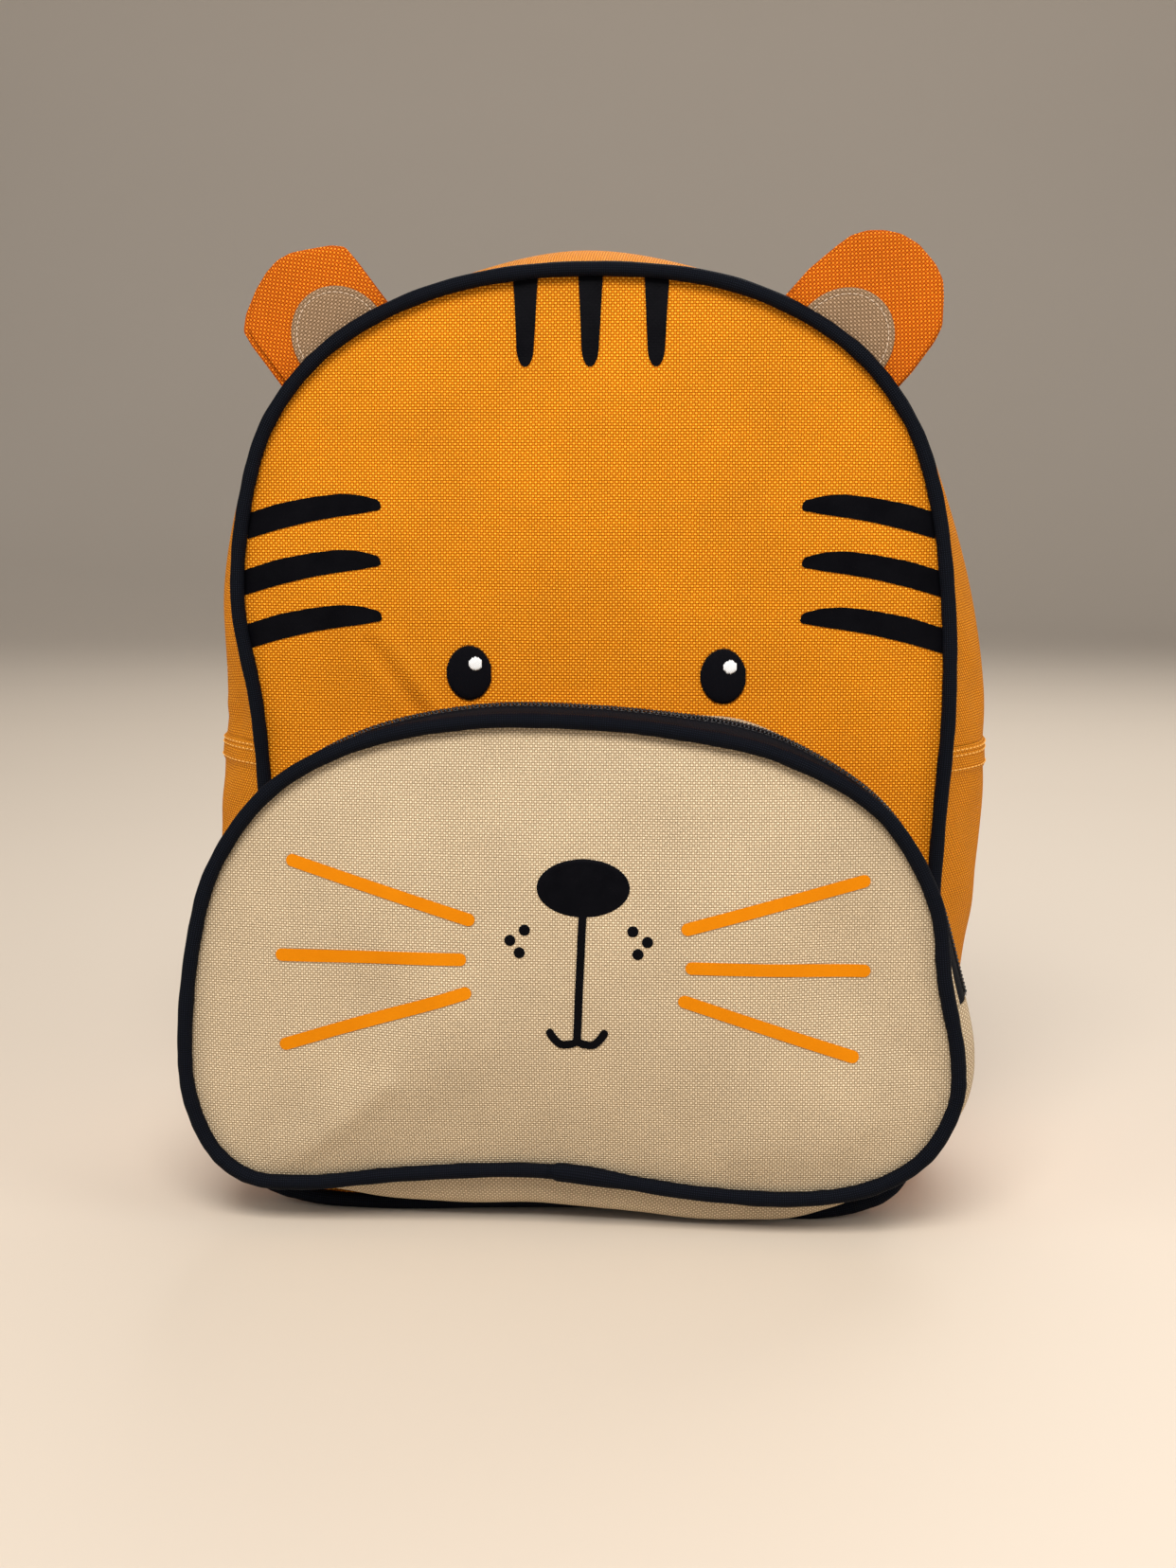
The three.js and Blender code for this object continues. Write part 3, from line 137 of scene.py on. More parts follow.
LAMPS = [
    # name, place, aim, width, height, power
    ("top_lamp", (-0.05, -1.15, 1.35), (0, 0, 0.2), 1.0, 0.7, 32),
    ("left_lamp", (-1.5, -0.9, 0.75), (0, 0, 0.15), 1.0, 1.2, 8),
    ("right_lamp", (1.5, -0.7, 0.8), (0, 0, 0.15), 1.0, 1.2, 13),
    ("back_lamp", (0.3, 1.3, 1.2), (0, 0, 0.25), 1.6, 0.8, 16),
]
for name, place, aim, width, height, power in LAMPS:
    lamp = bpy.data.objects.new(name, bpy.data.lights.new(name, "AREA"))
    lamp.data.shape = "RECTANGLE"
    lamp.data.size = width
    lamp.data.size_y = height
    lamp.data.energy = power
    lamp.data.color = (1.0, 0.97, 0.93)
    lamp.location = place
    lamp.rotation_euler = (Vector(aim) - Vector(place)).to_track_quat("-Z", "Y").to_euler()
    scene.collection.objects.link(lamp)
room = bpy.data.worlds.new("room")
scene.world = room
room.use_nodes = True
room.node_tree.nodes["Background"].inputs[0].default_value = (0.93, 0.95, 1.0, 1)
room.node_tree.nodes["Background"].inputs[1].default_value = 0.34

# ---- Front panel ------------------------------------------------------------------------------------------
# The face of the bag: one taut wall of orange coated polyester cloth in coarse plain weave. It is sewn to the
# gusset all round under the piping, and creases run in from where the pocket pulls.
MM = 0.001
THREAD = 0.88  # from one thread of the cloth to the next
FABRIC = 1.5
SEAM_GAP = 0.3
PIPING_RADIUS = 2.3
PIPING_SEAT = (PIPING_RADIUS + SEAM_GAP) / math.sqrt(2)
BODY_WIDTH, BODY_HEIGHT, BODY_DEPTH = 236, 307, 100
FRONT, BACK = -BODY_DEPTH / 2, BODY_DEPTH / 2
BODY_CROWN = 9
TOE_REACH, TOE_HEIGHT = 30, 100
BODY_BULGE = 24
# Outline, as shares of half the width and of the height. The third number is the gusset's bulge there.
BODY_OUTLINE = {
    "bottom": (0, 0.013, 0.75),
    "top": (-0.04, 1.001, 0.5),
    "left": [
        (0.8, 0.013, 0.75), (0.93, 0.034, 0.7), (0.945, 0.146, 0.9), (0.93, 0.277, 1.15),
        (0.933, 0.424, 1.2), (0.953, 0.537, 0.93), (1, 0.652, 0.73), (0.968, 0.765, 0.58),
        (0.894, 0.847, 0.5), (0.721, 0.923, 0.36), (0.429, 0.979, 0.36),
    ],
    "right": [
        (0.74, 0.013, 0.75), (0.88, 0.042, 0.65), (0.935, 0.146, 0.7), (0.96, 0.277, 0.82),
        (0.981, 0.424, 0.9), (0.999, 0.538, 0.79), (0.99, 0.652, 0.6), (0.948, 0.765, 0.38),
        (0.871, 0.846, 0.32), (0.706, 0.922, 0.3), (0.4, 0.983, 0.28),
    ],
}
# Folds, in millimetres: from x, z to x, z, then half width and height. Above 0 a fold stands proud.
BODY_FOLDS = [
    (-93, 205, -65, 174, 12, 1.44), (-101, 186, -78, 162, 16.5, -1.8),
    (-73, 186, -53, 158, 3.0, -1.5), (-67, 188, -47, 160, 3.4, 1.0),
    (-98, 170, -88, 158, 8, -1.3), (70, 172, 84, 150, 12, -0.9),
    (88, 190, 92, 150, 10, 0.5), (-60, 250, 20, 262, 40, 0.7),
    (10, 208, 60, 206, 26, -0.5), (-30, 205, -70, 222, 22, 0.5),
]
FINE = 12  # curve points for each row of an outline


def curve_through(points):
    """A closed centripetal Catmull-Rom curve, with FINE points for each one that it passes through."""
    count = len(points)
    found = []
    for k in range(count):
        p0, p1, p2, p3 = (points[(k + d) % count] for d in (-1, 0, 1, 2))
        d0, d1, d2 = (np.linalg.norm(b - a) ** 0.5 for a, b in ((p0, p1), (p1, p2), (p2, p3)))
        t1 = ((p1 - p0) / d0 - (p2 - p0) / (d0 + d1) + (p2 - p1) / d1) * d1
        t2 = ((p2 - p1) / d1 - (p3 - p1) / (d1 + d2) + (p3 - p2) / d2) * d1
        for t in np.arange(FINE) / FINE:
            found.append(p1 + t1 * t + (-3 * p1 + 3 * p2 - 2 * t1 - t2) * t**2 + (2 * p1 - 2 * p2 + t1 + t2) * t**3)
    return np.array(found)


def ring_from(outline, width, height, bulge):
    """Columns x, z, outward x, outward z, bulge; from the bottom middle up the right side and down the left."""
    rows = [outline["bottom"], *outline["right"], outline["top"]]
    rows += [(-x, up, swell) for x, up, swell in reversed(outline["left"])]
    path = curve_through(np.array([(x * width / 2, swell * bulge, up * height) for x, up, swell in rows]))
    ahead = np.roll(path, -1, 0) - np.roll(path, 1, 0)
    length = np.hypot(ahead[:, 0], ahead[:, 2])
    return np.stack([path[:, 0], path[:, 2], ahead[:, 2] / length, -ahead[:, 0] / length, path[:, 1]], 1)


def offset_ring(ring, distance):
    moved = ring.copy()
    moved[:, :2] += ring[:, 2:4] * distance
    return moved


def ring_at(ring, turn):
    """The ring at a turn from 0 to 1, which may be an array."""
    place = np.mod(np.asarray(turn, float), 1) * len(ring)
    low = np.floor(place).astype(int) % len(ring)
    share = (place - np.floor(place))[..., None]
    return ring[low] * (1 - share) + ring[(low + 1) % len(ring)] * share


def turn_at_height(ring, height, sign):
    """The turn at which the ring passes a height on its right side (1) or its left side (-1)."""
    half = len(ring) // 2
    order = np.arange(half + 1) * sign % len(ring)
    z = ring[order, 1]
    k = np.nonzero((z[:-1] <= height) & (z[1:] > height))[0][0]
    along = (k + (height - z[k]) / (z[k + 1] - z[k])) / len(ring)
    return along if sign > 0 else 1 - along


def reach_of(ring, centre, x, z):
    """How far out a point lies, from 0 at the centre to 1 on the ring."""
    dx, dz = np.asarray(x, float) - centre[0], np.asarray(z, float) - centre[1]
    angle = np.arctan2(ring[:, 1] - centre[1], ring[:, 0] - centre[0])
    order = np.argsort(angle)
    radius = np.hypot(ring[:, 0] - centre[0], ring[:, 1] - centre[1])
    rim = np.interp(np.arctan2(dz, dx), angle[order], radius[order], period=2 * math.pi)
    return np.hypot(dx, dz) / rim


def folds_at(folds, x, z):
    total = np.zeros_like(x, dtype=float)
    for x0, z0, x1, z1, half, height in folds:
        ax, az = x1 - x0, z1 - z0
        share = np.clip(((x - x0) * ax + (z - z0) * az) / (ax * ax + az * az), 0, 1)
        away = np.hypot(x - x0 - share * ax, z - z0 - share * az) / half
        total += height * np.exp(-away * away)
    return total


def grid_in(ring, centre, cells):
    """A square of cells laid into a ring: x, z and reach of each corner."""
    u, v = np.meshgrid(np.linspace(-1, 1, cells + 1), np.linspace(-1, 1, cells + 1))
    reach = np.maximum(np.abs(u), np.abs(v))
    safe = np.where(reach == 0, 1, reach)
    su, sv = u / safe, v / safe
    turn = np.where(sv <= -1, su / 8, 0.0)
    turn = np.where((su >= 1) & (sv > -1), 0.25 + sv / 8, turn)
    turn = np.where((sv >= 1) & (su < 1), 0.5 - su / 8, turn)
    turn = np.where((su <= -1) & (sv < 1) & (sv > -1), 0.75 - sv / 8, turn)
    edge = ring_at(ring, turn)
    return centre[0] + (edge[..., 0] - centre[0]) * reach, centre[1] + (edge[..., 1] - centre[1]) * reach, reach


def stack(x, y, z):
    return np.stack(np.broadcast_arrays(x, y, z), -1).astype(float)


def length_along(points):
    """How far each point of a line is from its start."""
    return np.concatenate([[0], np.cumsum(np.linalg.norm(np.diff(points, axis=0), axis=1))])


def resampled(points, count):
    """The same line with its points evenly spaced."""
    run = length_along(points)
    return np.stack([np.interp(np.linspace(0, run[-1], count), run, row) for row in np.asarray(points).T], 1)


def soften(line, rounds, start=1):
    """Rounds the corners of a line in place, from the point start on."""
    for _ in range(rounds):
        line[start:-1] = (line[start - 1:-2] + line[start:-1] + line[start + 1:]) / 3


def mesh_piece(name, points, faces, uv=None):
    """A closed mesh from points in millimetres. uv has one pair for each point, in millimetres of cloth."""
    mesh = bpy.data.meshes.new(name)
    mesh.from_pydata((np.asarray(points, float) * MM).tolist(), [], faces)
    if uv is not None:
        layer = mesh.uv_layers.new(name="cloth")
        corner = np.zeros(len(mesh.loops), np.int32)
        mesh.loops.foreach_get("vertex_index", corner)
        layer.data.foreach_set("uv", (np.asarray(uv, float) * MM)[corner].astype(np.float32).ravel())
    mesh.polygons.foreach_set("use_smooth", [True] * len(mesh.polygons))
    bm = bmesh.new()
    bm.from_mesh(mesh)
    bmesh.ops.recalc_face_normals(bm, faces=bm.faces)
    if bm.calc_volume(signed=True) < 0:
        bmesh.ops.reverse_faces(bm, faces=bm.faces)
    bm.to_mesh(mesh)
    bm.free()
    made = bpy.data.objects.new(name, mesh)
    scene.collection.objects.link(made)
    return made


def wall(name, outer, inner, uv, crease=50):
    """A closed wall of cloth between two faces of the same grid of points."""
    rows, cols = outer.shape[:2]
    ids = np.arange(rows * cols).reshape(rows, cols)
    layer = rows * cols
    a, b, c, d = ids[:-1, :-1], ids[:-1, 1:], ids[1:, 1:], ids[1:, :-1]
    front = np.stack([a, b, c, d], -1).reshape(-1, 4)
    back = np.stack([d, c, b, a], -1).reshape(-1, 4) + layer
    rim = np.concatenate([ids[0, :], ids[1:, -1], ids[-1, -2::-1], ids[-2:0:-1, 0]])
    after = np.roll(rim, -1)
    side = np.stack([after, rim, rim + layer, after + layer], -1)
    faces = np.concatenate([front, back, side]).tolist()
    points = np.concatenate([outer.reshape(-1, 3), inner.reshape(-1, 3)])
    piece = mesh_piece(name, points, faces, np.concatenate([uv.reshape(-1, 2)] * 2))
    piece.data.set_sharp_from_angle(angle=math.radians(crease))
    return piece


def sheet(name, x, z, front, back, crease=50):
    """A wall whose two faces lie at the depths front and back over the same places x, z."""
    return wall(name, stack(x, front, z), stack(x, back, z), np.stack([x, z], -1), crease)


def finish_piece(piece, material, slot, *nodes):
    """The piece gets its material, rides on the bag and stands for its CAD nodes."""
    piece.data.materials.clear()
    piece.data.materials.append(material)
    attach(piece, "root")
    if nodes:
        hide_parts(*nodes)
    return piece


# Plain weave: the threads of one direction are fatter and stand higher, so they take more of the painted highlight,
# and pass over and under the others.
# The colour follows the height: the gaps between threads are painted darker as shade, and the highest crests
# lighter as a painted highlight.
weave, given = node_group("plain_weave", [
    ("Place", "V", "INPUT"), ("Threads", "F", "INPUT"), ("Wander", "F", "INPUT"), ("Thread", "C", "INPUT"),
    ("Gap", "C", "INPUT"), ("Crest", "C", "INPUT"), ("Color", "C", "OUTPUT"), ("Height", "F", "OUTPUT"),
])
sway = put(weave, "ShaderNodeTexNoise", Vector=given["Place"], Scale=45.0, Detail=2.0)
shift = put(weave, "ShaderNodeVectorMath", {"operation": "SUBTRACT"}, i0=sway.outputs["Color"], i1=(0.5, 0.5, 0.5))
shift = put(weave, "ShaderNodeVectorMath", {"operation": "SCALE"}, i0=shift.outputs[0], Scale=given["Wander"])
place = put(weave, "ShaderNodeVectorMath", {"operation": "SCALE"}, i0=given["Place"], Scale=given["Threads"])
place = put(weave, "ShaderNodeVectorMath", {"operation": "ADD"}, i0=place.outputs[0], i1=shift.outputs[0])
axes = put(weave, "ShaderNodeSeparateXYZ", Vector=place.outputs[0])
across = sum_of(weave, "COSINE", sum_of(weave, "MULTIPLY", axes.outputs[0], math.pi))
along = sum_of(weave, "COSINE", sum_of(weave, "MULTIPLY", axes.outputs[1], math.pi))
over = sum_of(weave, "GREATER_THAN", sum_of(weave, "MULTIPLY", across, along), 0.0)
flat_across = sum_of(weave, "ABSOLUTE", across)
flat_along = sum_of(weave, "ABSOLUTE", along)
weft = sum_of(weave, "MULTIPLY", sum_of(weave, "POWER", flat_along, 0.5), sum_of(weave, "POWER", flat_across, 0.2))
warp = sum_of(weave, "MULTIPLY", sum_of(weave, "POWER", flat_across, 0.6), sum_of(weave, "POWER", flat_along, 0.3))
warp = sum_of(weave, "MULTIPLY", warp, 0.62)
height = put(weave, "ShaderNodeMix", {"data_type": "FLOAT"}, Factor=over, i2=warp, i3=weft).outputs[0]
# Painted shade in the gaps between threads, then a painted highlight on the highest crests
body = blend(weave, remap(weave, height, 0.15, 0.75, 0, 1), given["Gap"], given["Thread"])
highlighted = blend(weave, remap(weave, height, 0.72, 1, 0, 0.8), body, given["Crest"])
mottle = remap(weave, noise(weave, given["Place"], 28, 5, 0.6), 0.3, 0.7, 0.9, 1.06)
streaks = remap(weave, noise(weave, place.outputs[0], 0.9, 1), 0.3, 0.7, 0.88, 1.08)
tone = sum_of(weave, "MULTIPLY", mottle, streaks)
shade = put(weave, "ShaderNodeVectorMath", {"operation": "SCALE"}, i0=highlighted, Scale=tone)
put(weave, "NodeGroupOutput", Color=shade.outputs[0], Height=height)


def cloth(name, thread, gap, crest, roughness=0.66, bump=0.9, threads=1 / THREAD, turn=0.0, gloss=0.07):
    """A woven cloth whose threads run along the piece's own cloth map, turned by an angle in degrees."""
    # The second colour is painted shade between the threads, and the third is a painted highlight on their crests.
    material, tree = new_material(name)
    lay = put(tree, "ShaderNodeUVMap", {"uv_map": "cloth"}).outputs[0]
    if turn:
        lay = put(tree, "ShaderNodeMapping", Vector=lay, Rotation=(0, 0, math.radians(turn))).outputs[0]
    woven = put(
        tree, "ShaderNodeGroup", {"node_tree": weave}, Place=lay, Threads=threads / MM, Wander=0.7,
        Thread=(*thread, 1), Gap=(*gap, 1), Crest=(*crest, 1))
    high = woven.outputs["Height"]
    surface(
        tree, Base_Color=woven.outputs["Color"], Normal=raised(tree, high, bump, 0.32 * MM),
        Roughness=remap(tree, high, 0, 1, roughness + 0.2, roughness - 0.1), Specular_IOR_Level=gloss)
    return material


# Thread colour, then the painted shade between threads, then the painted highlight on the crests
orange_cloth = cloth("orange_cloth", (0.72, 0.235, 0.003), (0.27, 0.055, 0.0005), (1.0, 0.50, 0.05))

piping_ring = ring_from(BODY_OUTLINE, BODY_WIDTH, BODY_HEIGHT, BODY_BULGE)
body_seam = offset_ring(piping_ring, -PIPING_SEAT)
BODY_CENTRE = (0, BODY_HEIGHT / 2)


def front_seam_at(z):
    return FRONT - TOE_REACH * np.maximum(0, 1 - z / TOE_HEIGHT) ** 2


def body_face(x, z, reach=None):
    reach = reach_of(body_seam, BODY_CENTRE, x, z) if reach is None else reach
    return front_seam_at(z) - (1 - reach * reach) * (BODY_CROWN + folds_at(BODY_FOLDS, x, z))


x, z, reach = grid_in(body_seam, BODY_CENTRE, 176)
y = body_face(x, z, reach)
finish_piece(sheet("front_cloth", x, z, y, y + FABRIC), orange_cloth, "orange_cloth", "front_panel")

# ---- Back panel -------------------------------------------------------------------------------------------
# The side that lies against the child: the same cloth over a sheet of foam, which swells it a little.
BACK_CROWN = 4
BACK_PADDING = 5


def back_face(x, z, reach=None):
    reach = reach_of(body_seam, BODY_CENTRE, x, z) if reach is None else reach
    return BACK + BACK_CROWN * (1 - reach * reach)


x, z, reach = grid_in(body_seam, BODY_CENTRE, 96)
y = back_face(x, z, reach)
soft = np.clip((1 - reach) / 0.3, 0, 1)
thick = FABRIC + (BACK_PADDING - FABRIC) * soft * soft * (3 - 2 * soft)
back_panel = sheet("back_cloth", x, z, y, y - thick)
finish_piece(back_panel, orange_cloth, "orange_cloth", "back_panel")

# ---- Gusset -----------------------------------------------------------------------------------------------
# The strip of orange cloth that runs round between front and back and bellies out. The lower part goes under
# the bag and ends in a hem at each side, folded over the zipped part and sewn down with two rows of stitches.
HEM_HEIGHT = 152
HEM_WIDTH = 10
HEM_FOLD = 0.8
STITCH_RADIUS = 0.24
STITCH_RISE = 0.16  # how far the middle of a stitch lies above the cloth
SIDES = ((-1, "left"), (1, "right"))
MAIN_ZIP_WIDTH, MAIN_ZIP_SETBACK = 24, 56
GUSSET_SPAN = BODY_DEPTH - 2 * (FABRIC + SEAM_GAP)
# Wrinkles: side, from across, z to across, z, then half width and height
GUSSET_FOLDS = [
    (-1, 0.02, 196, 0.2, 158, 5, -1.6), (-1, 0.1, 214, 0.3, 172, 7, 1.2), (-1, 0.0, 176, 0.3, 163, 5, 1.2),
    (-1, 0.05, 130, 0.3, 118, 6, -1.6), (-1, 0.02, 118, 0.4, 104, 8, 1.2), (-1, 0.3, 140, 0.6, 128, 8, -1.0),
    (-1, 0.1, 98, 0.35, 84, 8, -1.0), (1, 0.05, 190, 0.25, 168, 6, -1.1), (1, 0.0, 210, 0.2, 178, 7, 0.8),
    (1, 0.05, 138, 0.3, 122, 7, -1.0), (1, 0.1, 112, 0.4, 92, 9, 0.9), (1, 0.4, 150, 0.7, 138, 9, -0.9),
    (-1, 0.0, 55, 0.3, 30, 9, -1.2), (1, 0.0, 58, 0.3, 34, 9, -1.2),
]


def gusset_point(turn, across, lift=0.0):
    q = ring_at(body_seam, turn)
    x0, z0, nx, nz, swell = (q[..., k] for k in range(5))
    ripple = np.zeros(np.broadcast(turn, across).shape)
    run = across * GUSSET_SPAN
    for sign, a0, z_from, a1, z_to, half, height in GUSSET_FOLDS:
        mine = np.clip(x0 * sign / 30, 0, 1)
        ripple = ripple + mine * folds_at([(a0 * 100, z_from, a1 * 100, z_to, half, height)], run, z0 + run * 0)
    out = swell * np.sin(math.pi * across) + lift + ripple * np.sin(math.pi * np.clip(across, 0, 1)) ** 0.5
    start = front_seam_at(z0 + nz * lift) + FABRIC + SEAM_GAP
    y = start + across * (BACK - FABRIC - SEAM_GAP - start)
    z = z0 + nz * out
    return stack(x0 + nx * out, y, np.where(np.asarray(lift) < 0, np.maximum(z, -lift), np.maximum(z, 0)))


def strip(name, point_at, turns, across, lifts=0.0, thickness=FABRIC):
    """A strip of cloth along part of a ring, mapped by its real length and width."""
    turn, share = np.meshgrid(turns, across)
    lift = np.broadcast_to(lifts, turn.shape)
    outer = point_at(turn, share, lift)
    inner = point_at(turn, share, np.full(turn.shape, -float(thickness)))
    run = length_along(outer[len(across) // 2])
    width = np.concatenate(
        [np.zeros((1, turn.shape[1])), np.cumsum(np.linalg.norm(np.diff(outer, axis=0), axis=2), 0)])
    return wall(name, outer, inner, stack(np.broadcast_to(run, turn.shape), width, 0)[..., :2])


hem_right = turn_at_height(body_seam, HEM_HEIGHT, 1)
hem_left = turn_at_height(body_seam, HEM_HEIGHT, -1)
hem_gap = hem_right - turn_at_height(body_seam, HEM_HEIGHT - SEAM_GAP, 1)
zip_from = (MAIN_ZIP_SETBACK - FABRIC - SEAM_GAP) / GUSSET_SPAN
zip_to = zip_from + MAIN_ZIP_WIDTH / GUSSET_SPAN
gap_across = SEAM_GAP / GUSSET_SPAN

over_turns = np.linspace(hem_right, hem_left, 400)
for name, start, end, rows, node in [
    ("upper_side_cloth", 0, zip_from - gap_across, 33, "upper_gusset_front"),
    ("upper_back_cloth", zip_to + gap_across, 1, 13, "upper_gusset_back"),
]:
    upper = strip(name, gusset_point, over_turns, np.linspace(start, end, rows))
    finish_piece(upper, orange_cloth, "orange_cloth", node)

under_turns = np.linspace(hem_left - 1 + hem_gap, hem_right - hem_gap, 520)
height_there = ring_at(body_seam, under_turns)[:, 1]
hem_share = np.clip((height_there - (HEM_HEIGHT - HEM_WIDTH)) / 1.2, 0, 1)
edge_round = np.clip((HEM_HEIGHT - SEAM_GAP - height_there) / 0.9, 0, 1)
hem_lift = HEM_FOLD * hem_share * (0.25 + 0.75 * np.sqrt(1 - (1 - edge_round) ** 2))
lower = strip("lower_side_cloth", gusset_point, under_turns, np.linspace(0, 1, 49), hem_lift)
finish_piece(lower, orange_cloth, "orange_cloth", "lower_gusset")


def threads(name, paths, radius, sides=6):
    """Short threads as one joined mesh: each path is a line of points, its ends drawn in to a point."""
    points, faces = [], []
    for path in paths:
        path = np.asarray(path, float)
        count = len(path)
        ahead = np.gradient(path, axis=0)
        ahead /= np.linalg.norm(ahead, axis=1)[:, None]
        side = np.cross(ahead, (0.13, 1, 0.21))
        side /= np.linalg.norm(side, axis=1)[:, None]
        up = np.cross(side, ahead)
        swell = np.sqrt(np.clip(1 - np.abs(np.linspace(-1, 1, count)) ** 6, 0.12, 1))
        first = sum(len(p) for p in points)
        for s in range(sides):
            angle = 2 * math.pi * s / sides
            ring = side * math.cos(angle) + up * math.sin(angle)
            points.append(path + ring * (radius * swell)[:, None])
        for s in range(sides):
            here, beside = first + s * count, first + (s + 1) % sides * count
            faces += [(here + k, here + k + 1, beside + k + 1, beside + k) for k in range(count - 1)]
        faces.append([first + s * count for s in range(sides)])
        faces.append([first + s * count + count - 1 for s in reversed(range(sides))])
    return mesh_piece(name, np.concatenate(points), faces)


def stitch_row(line, length=2.6, gap=0.7):
    """Stitches along a line of points, each with a gap before the next one."""
    run = length_along(line)
    at = lambda s: np.array([np.interp(s, run, line[:, k]) for k in range(3)]).T
    count = max(1, int(run[-1] // (length + gap)))
    step = run[-1] / count
    return [at(k * step + np.linspace(0, step - gap, 4)) for k in range(count)]


def thread_material(name, colour, roughness=0.5):
    """Twisted sewing thread: fine slanting plies, their grooves painted darker as shade, and a soft gloss."""
    material, tree = new_material(name)
    ply = put(
        tree, "ShaderNodeTexWave", {"bands_direction": "DIAGONAL"}, Vector=object_place(tree), Scale=900.0,
        Distortion=1.0).outputs["Fac"]
    # The grooves between the plies are painted darker as shade
    surface(
        tree, Base_Color=blend(tree, ply, tuple(c * 0.7 for c in colour), colour), Roughness=roughness,
        Normal=raised(tree, ply, 0.3, 0.08 * MM), Specular_IOR_Level=0.03)
    return material


orange_thread = thread_material("orange_thread", (1.0, 0.52, 0.12))
rows = []
for sign in (1, -1):
    for below in (1.4, 3.2, 8.0):
        turn = turn_at_height(body_seam, HEM_HEIGHT - below, sign)
        across = np.linspace(0.03, 0.97, 60)
        rows += stitch_row(gusset_point(np.full(60, turn), across, np.full(60, HEM_FOLD + STITCH_RISE)))
for share in (zip_from - gap_across - 2 / GUSSET_SPAN, zip_to + gap_across + 2 / GUSSET_SPAN):
    rows += stitch_row(gusset_point(over_turns, np.full(400, share), np.full(400, STITCH_RISE)))
finish_piece(threads("side_stitches", rows, STITCH_RADIUS, 5), orange_thread, "orange_cloth")

# ---- Main zip ---------------------------------------------------------------------------------------------
# A black coil zip over the top, sewn between the two upper strips: two woven tapes and a nylon coil whose
# turns hook into each other, with a slider and its pull at the left end.
ZIP_TAPE, ZIP_SUNK = 1.0, 0.4
COIL_PITCH, COIL_RADIUS = 1.3, 0.36
# Half a turn of the coil: away from the zip's middle and above the tape
COIL_AWAY, COIL_RISE = np.array([2.3, 1.9, 0.9, -0.1, -0.5]), np.array([0.2, 0.55, 0.85, 0.8, 0.35])
TAPE_SEAM = 2.9  # from the zip's middle to the stitches that hold the coil
# Thread colour, then the painted shade between threads, then the painted highlight on the crests
zip_tape = cloth(
    "zip_tape", (0.006, 0.0065, 0.009), (0.002, 0.002, 0.003), (0.03, 0.032, 0.04), roughness=0.6, bump=0.6,
    threads=2.2, gloss=0.05)


def coil_rise(share, width):
    """The tape lifts to a flat ridge where the coil is sewn on."""
    away = np.abs(share - 0.5) * width
    return 0.55 * np.clip((3.2 - away) / 1.0, 0, 1)


def zip_parts(name, point_at, turns, width, node):
    share = np.linspace(0, 1, 21)
    lift = (coil_rise(share, width) - ZIP_SUNK)[:, None] + 0 * turns[None, :]
    tape = strip(name + "_tape", point_at, turns, share, lift, ZIP_SUNK + ZIP_TAPE)
    finish_piece(tape, zip_tape, "zip_tape", node)
    fine = np.linspace(turns[0], turns[-1], 4000)
    run = length_along(point_at(fine, np.full(4000, 0.5), np.zeros(4000)))
    count = int(run[-1] // COIL_PITCH)
    loops = []
    for side in (-1, 1):
        for k in range(count):
            where = np.interp((k + (0.25 if side > 0 else 0.75)) * run[-1] / count, run, fine)
            loops.append(point_at(np.full(5, where), 0.5 + side * COIL_AWAY / width, COIL_RISE))
    finish_piece(threads(name + "_coil", loops, COIL_RADIUS), coil_nylon, "zip_tape")
    seams = []
    for offset in (-TAPE_SEAM, TAPE_SEAM):
        seams += stitch_row(point_at(fine[::8], np.full(500, 0.5 + offset / width), np.full(500, 0.28)), 1.8, 0.4)
    finish_piece(threads(name + "_coil_stitches", seams, 0.16, 5), coil_nylon, "zip_tape")


coil_nylon, tree = new_material("coil_nylon")
dust = noise(tree, object_place(tree), 320, 3)
tone = blend(tree, dust, (0.005, 0.005, 0.007), (0.02, 0.021, 0.025))
surface(tree, Base_Color=tone, Roughness=remap(tree, dust, 0.3, 0.7, 0.28, 0.45))


def main_zip_point(turn, share, lift=0.0):
    return gusset_point(turn, zip_from + (zip_to - zip_from) * share, lift)


zip_parts("main_zip", main_zip_point, np.linspace(hem_right, hem_left, 300), MAIN_ZIP_WIDTH, "main_zip")

# ---- Body piping ------------------------------------------------------------------------------------------
# A round cord in black bias-cut cloth, sewn into the seam between the front panel and the gusset.
# Thread colour, then the painted shade between threads, then the painted highlight on the crests
piping_cloth = cloth(
    "piping_cloth", (0.003, 0.004, 0.007), (0.001, 0.0012, 0.002), (0.018, 0.022, 0.034), roughness=0.5, bump=0.7,
    threads=2.0, turn=45, gloss=0.03)
PIPING_SIDES = 16
PIPING_START = 0.0027  # where the cover's ends meet, as a turn of the ring
PIPING_COVER = 0.12  # how much fatter the cover is than the cord in it


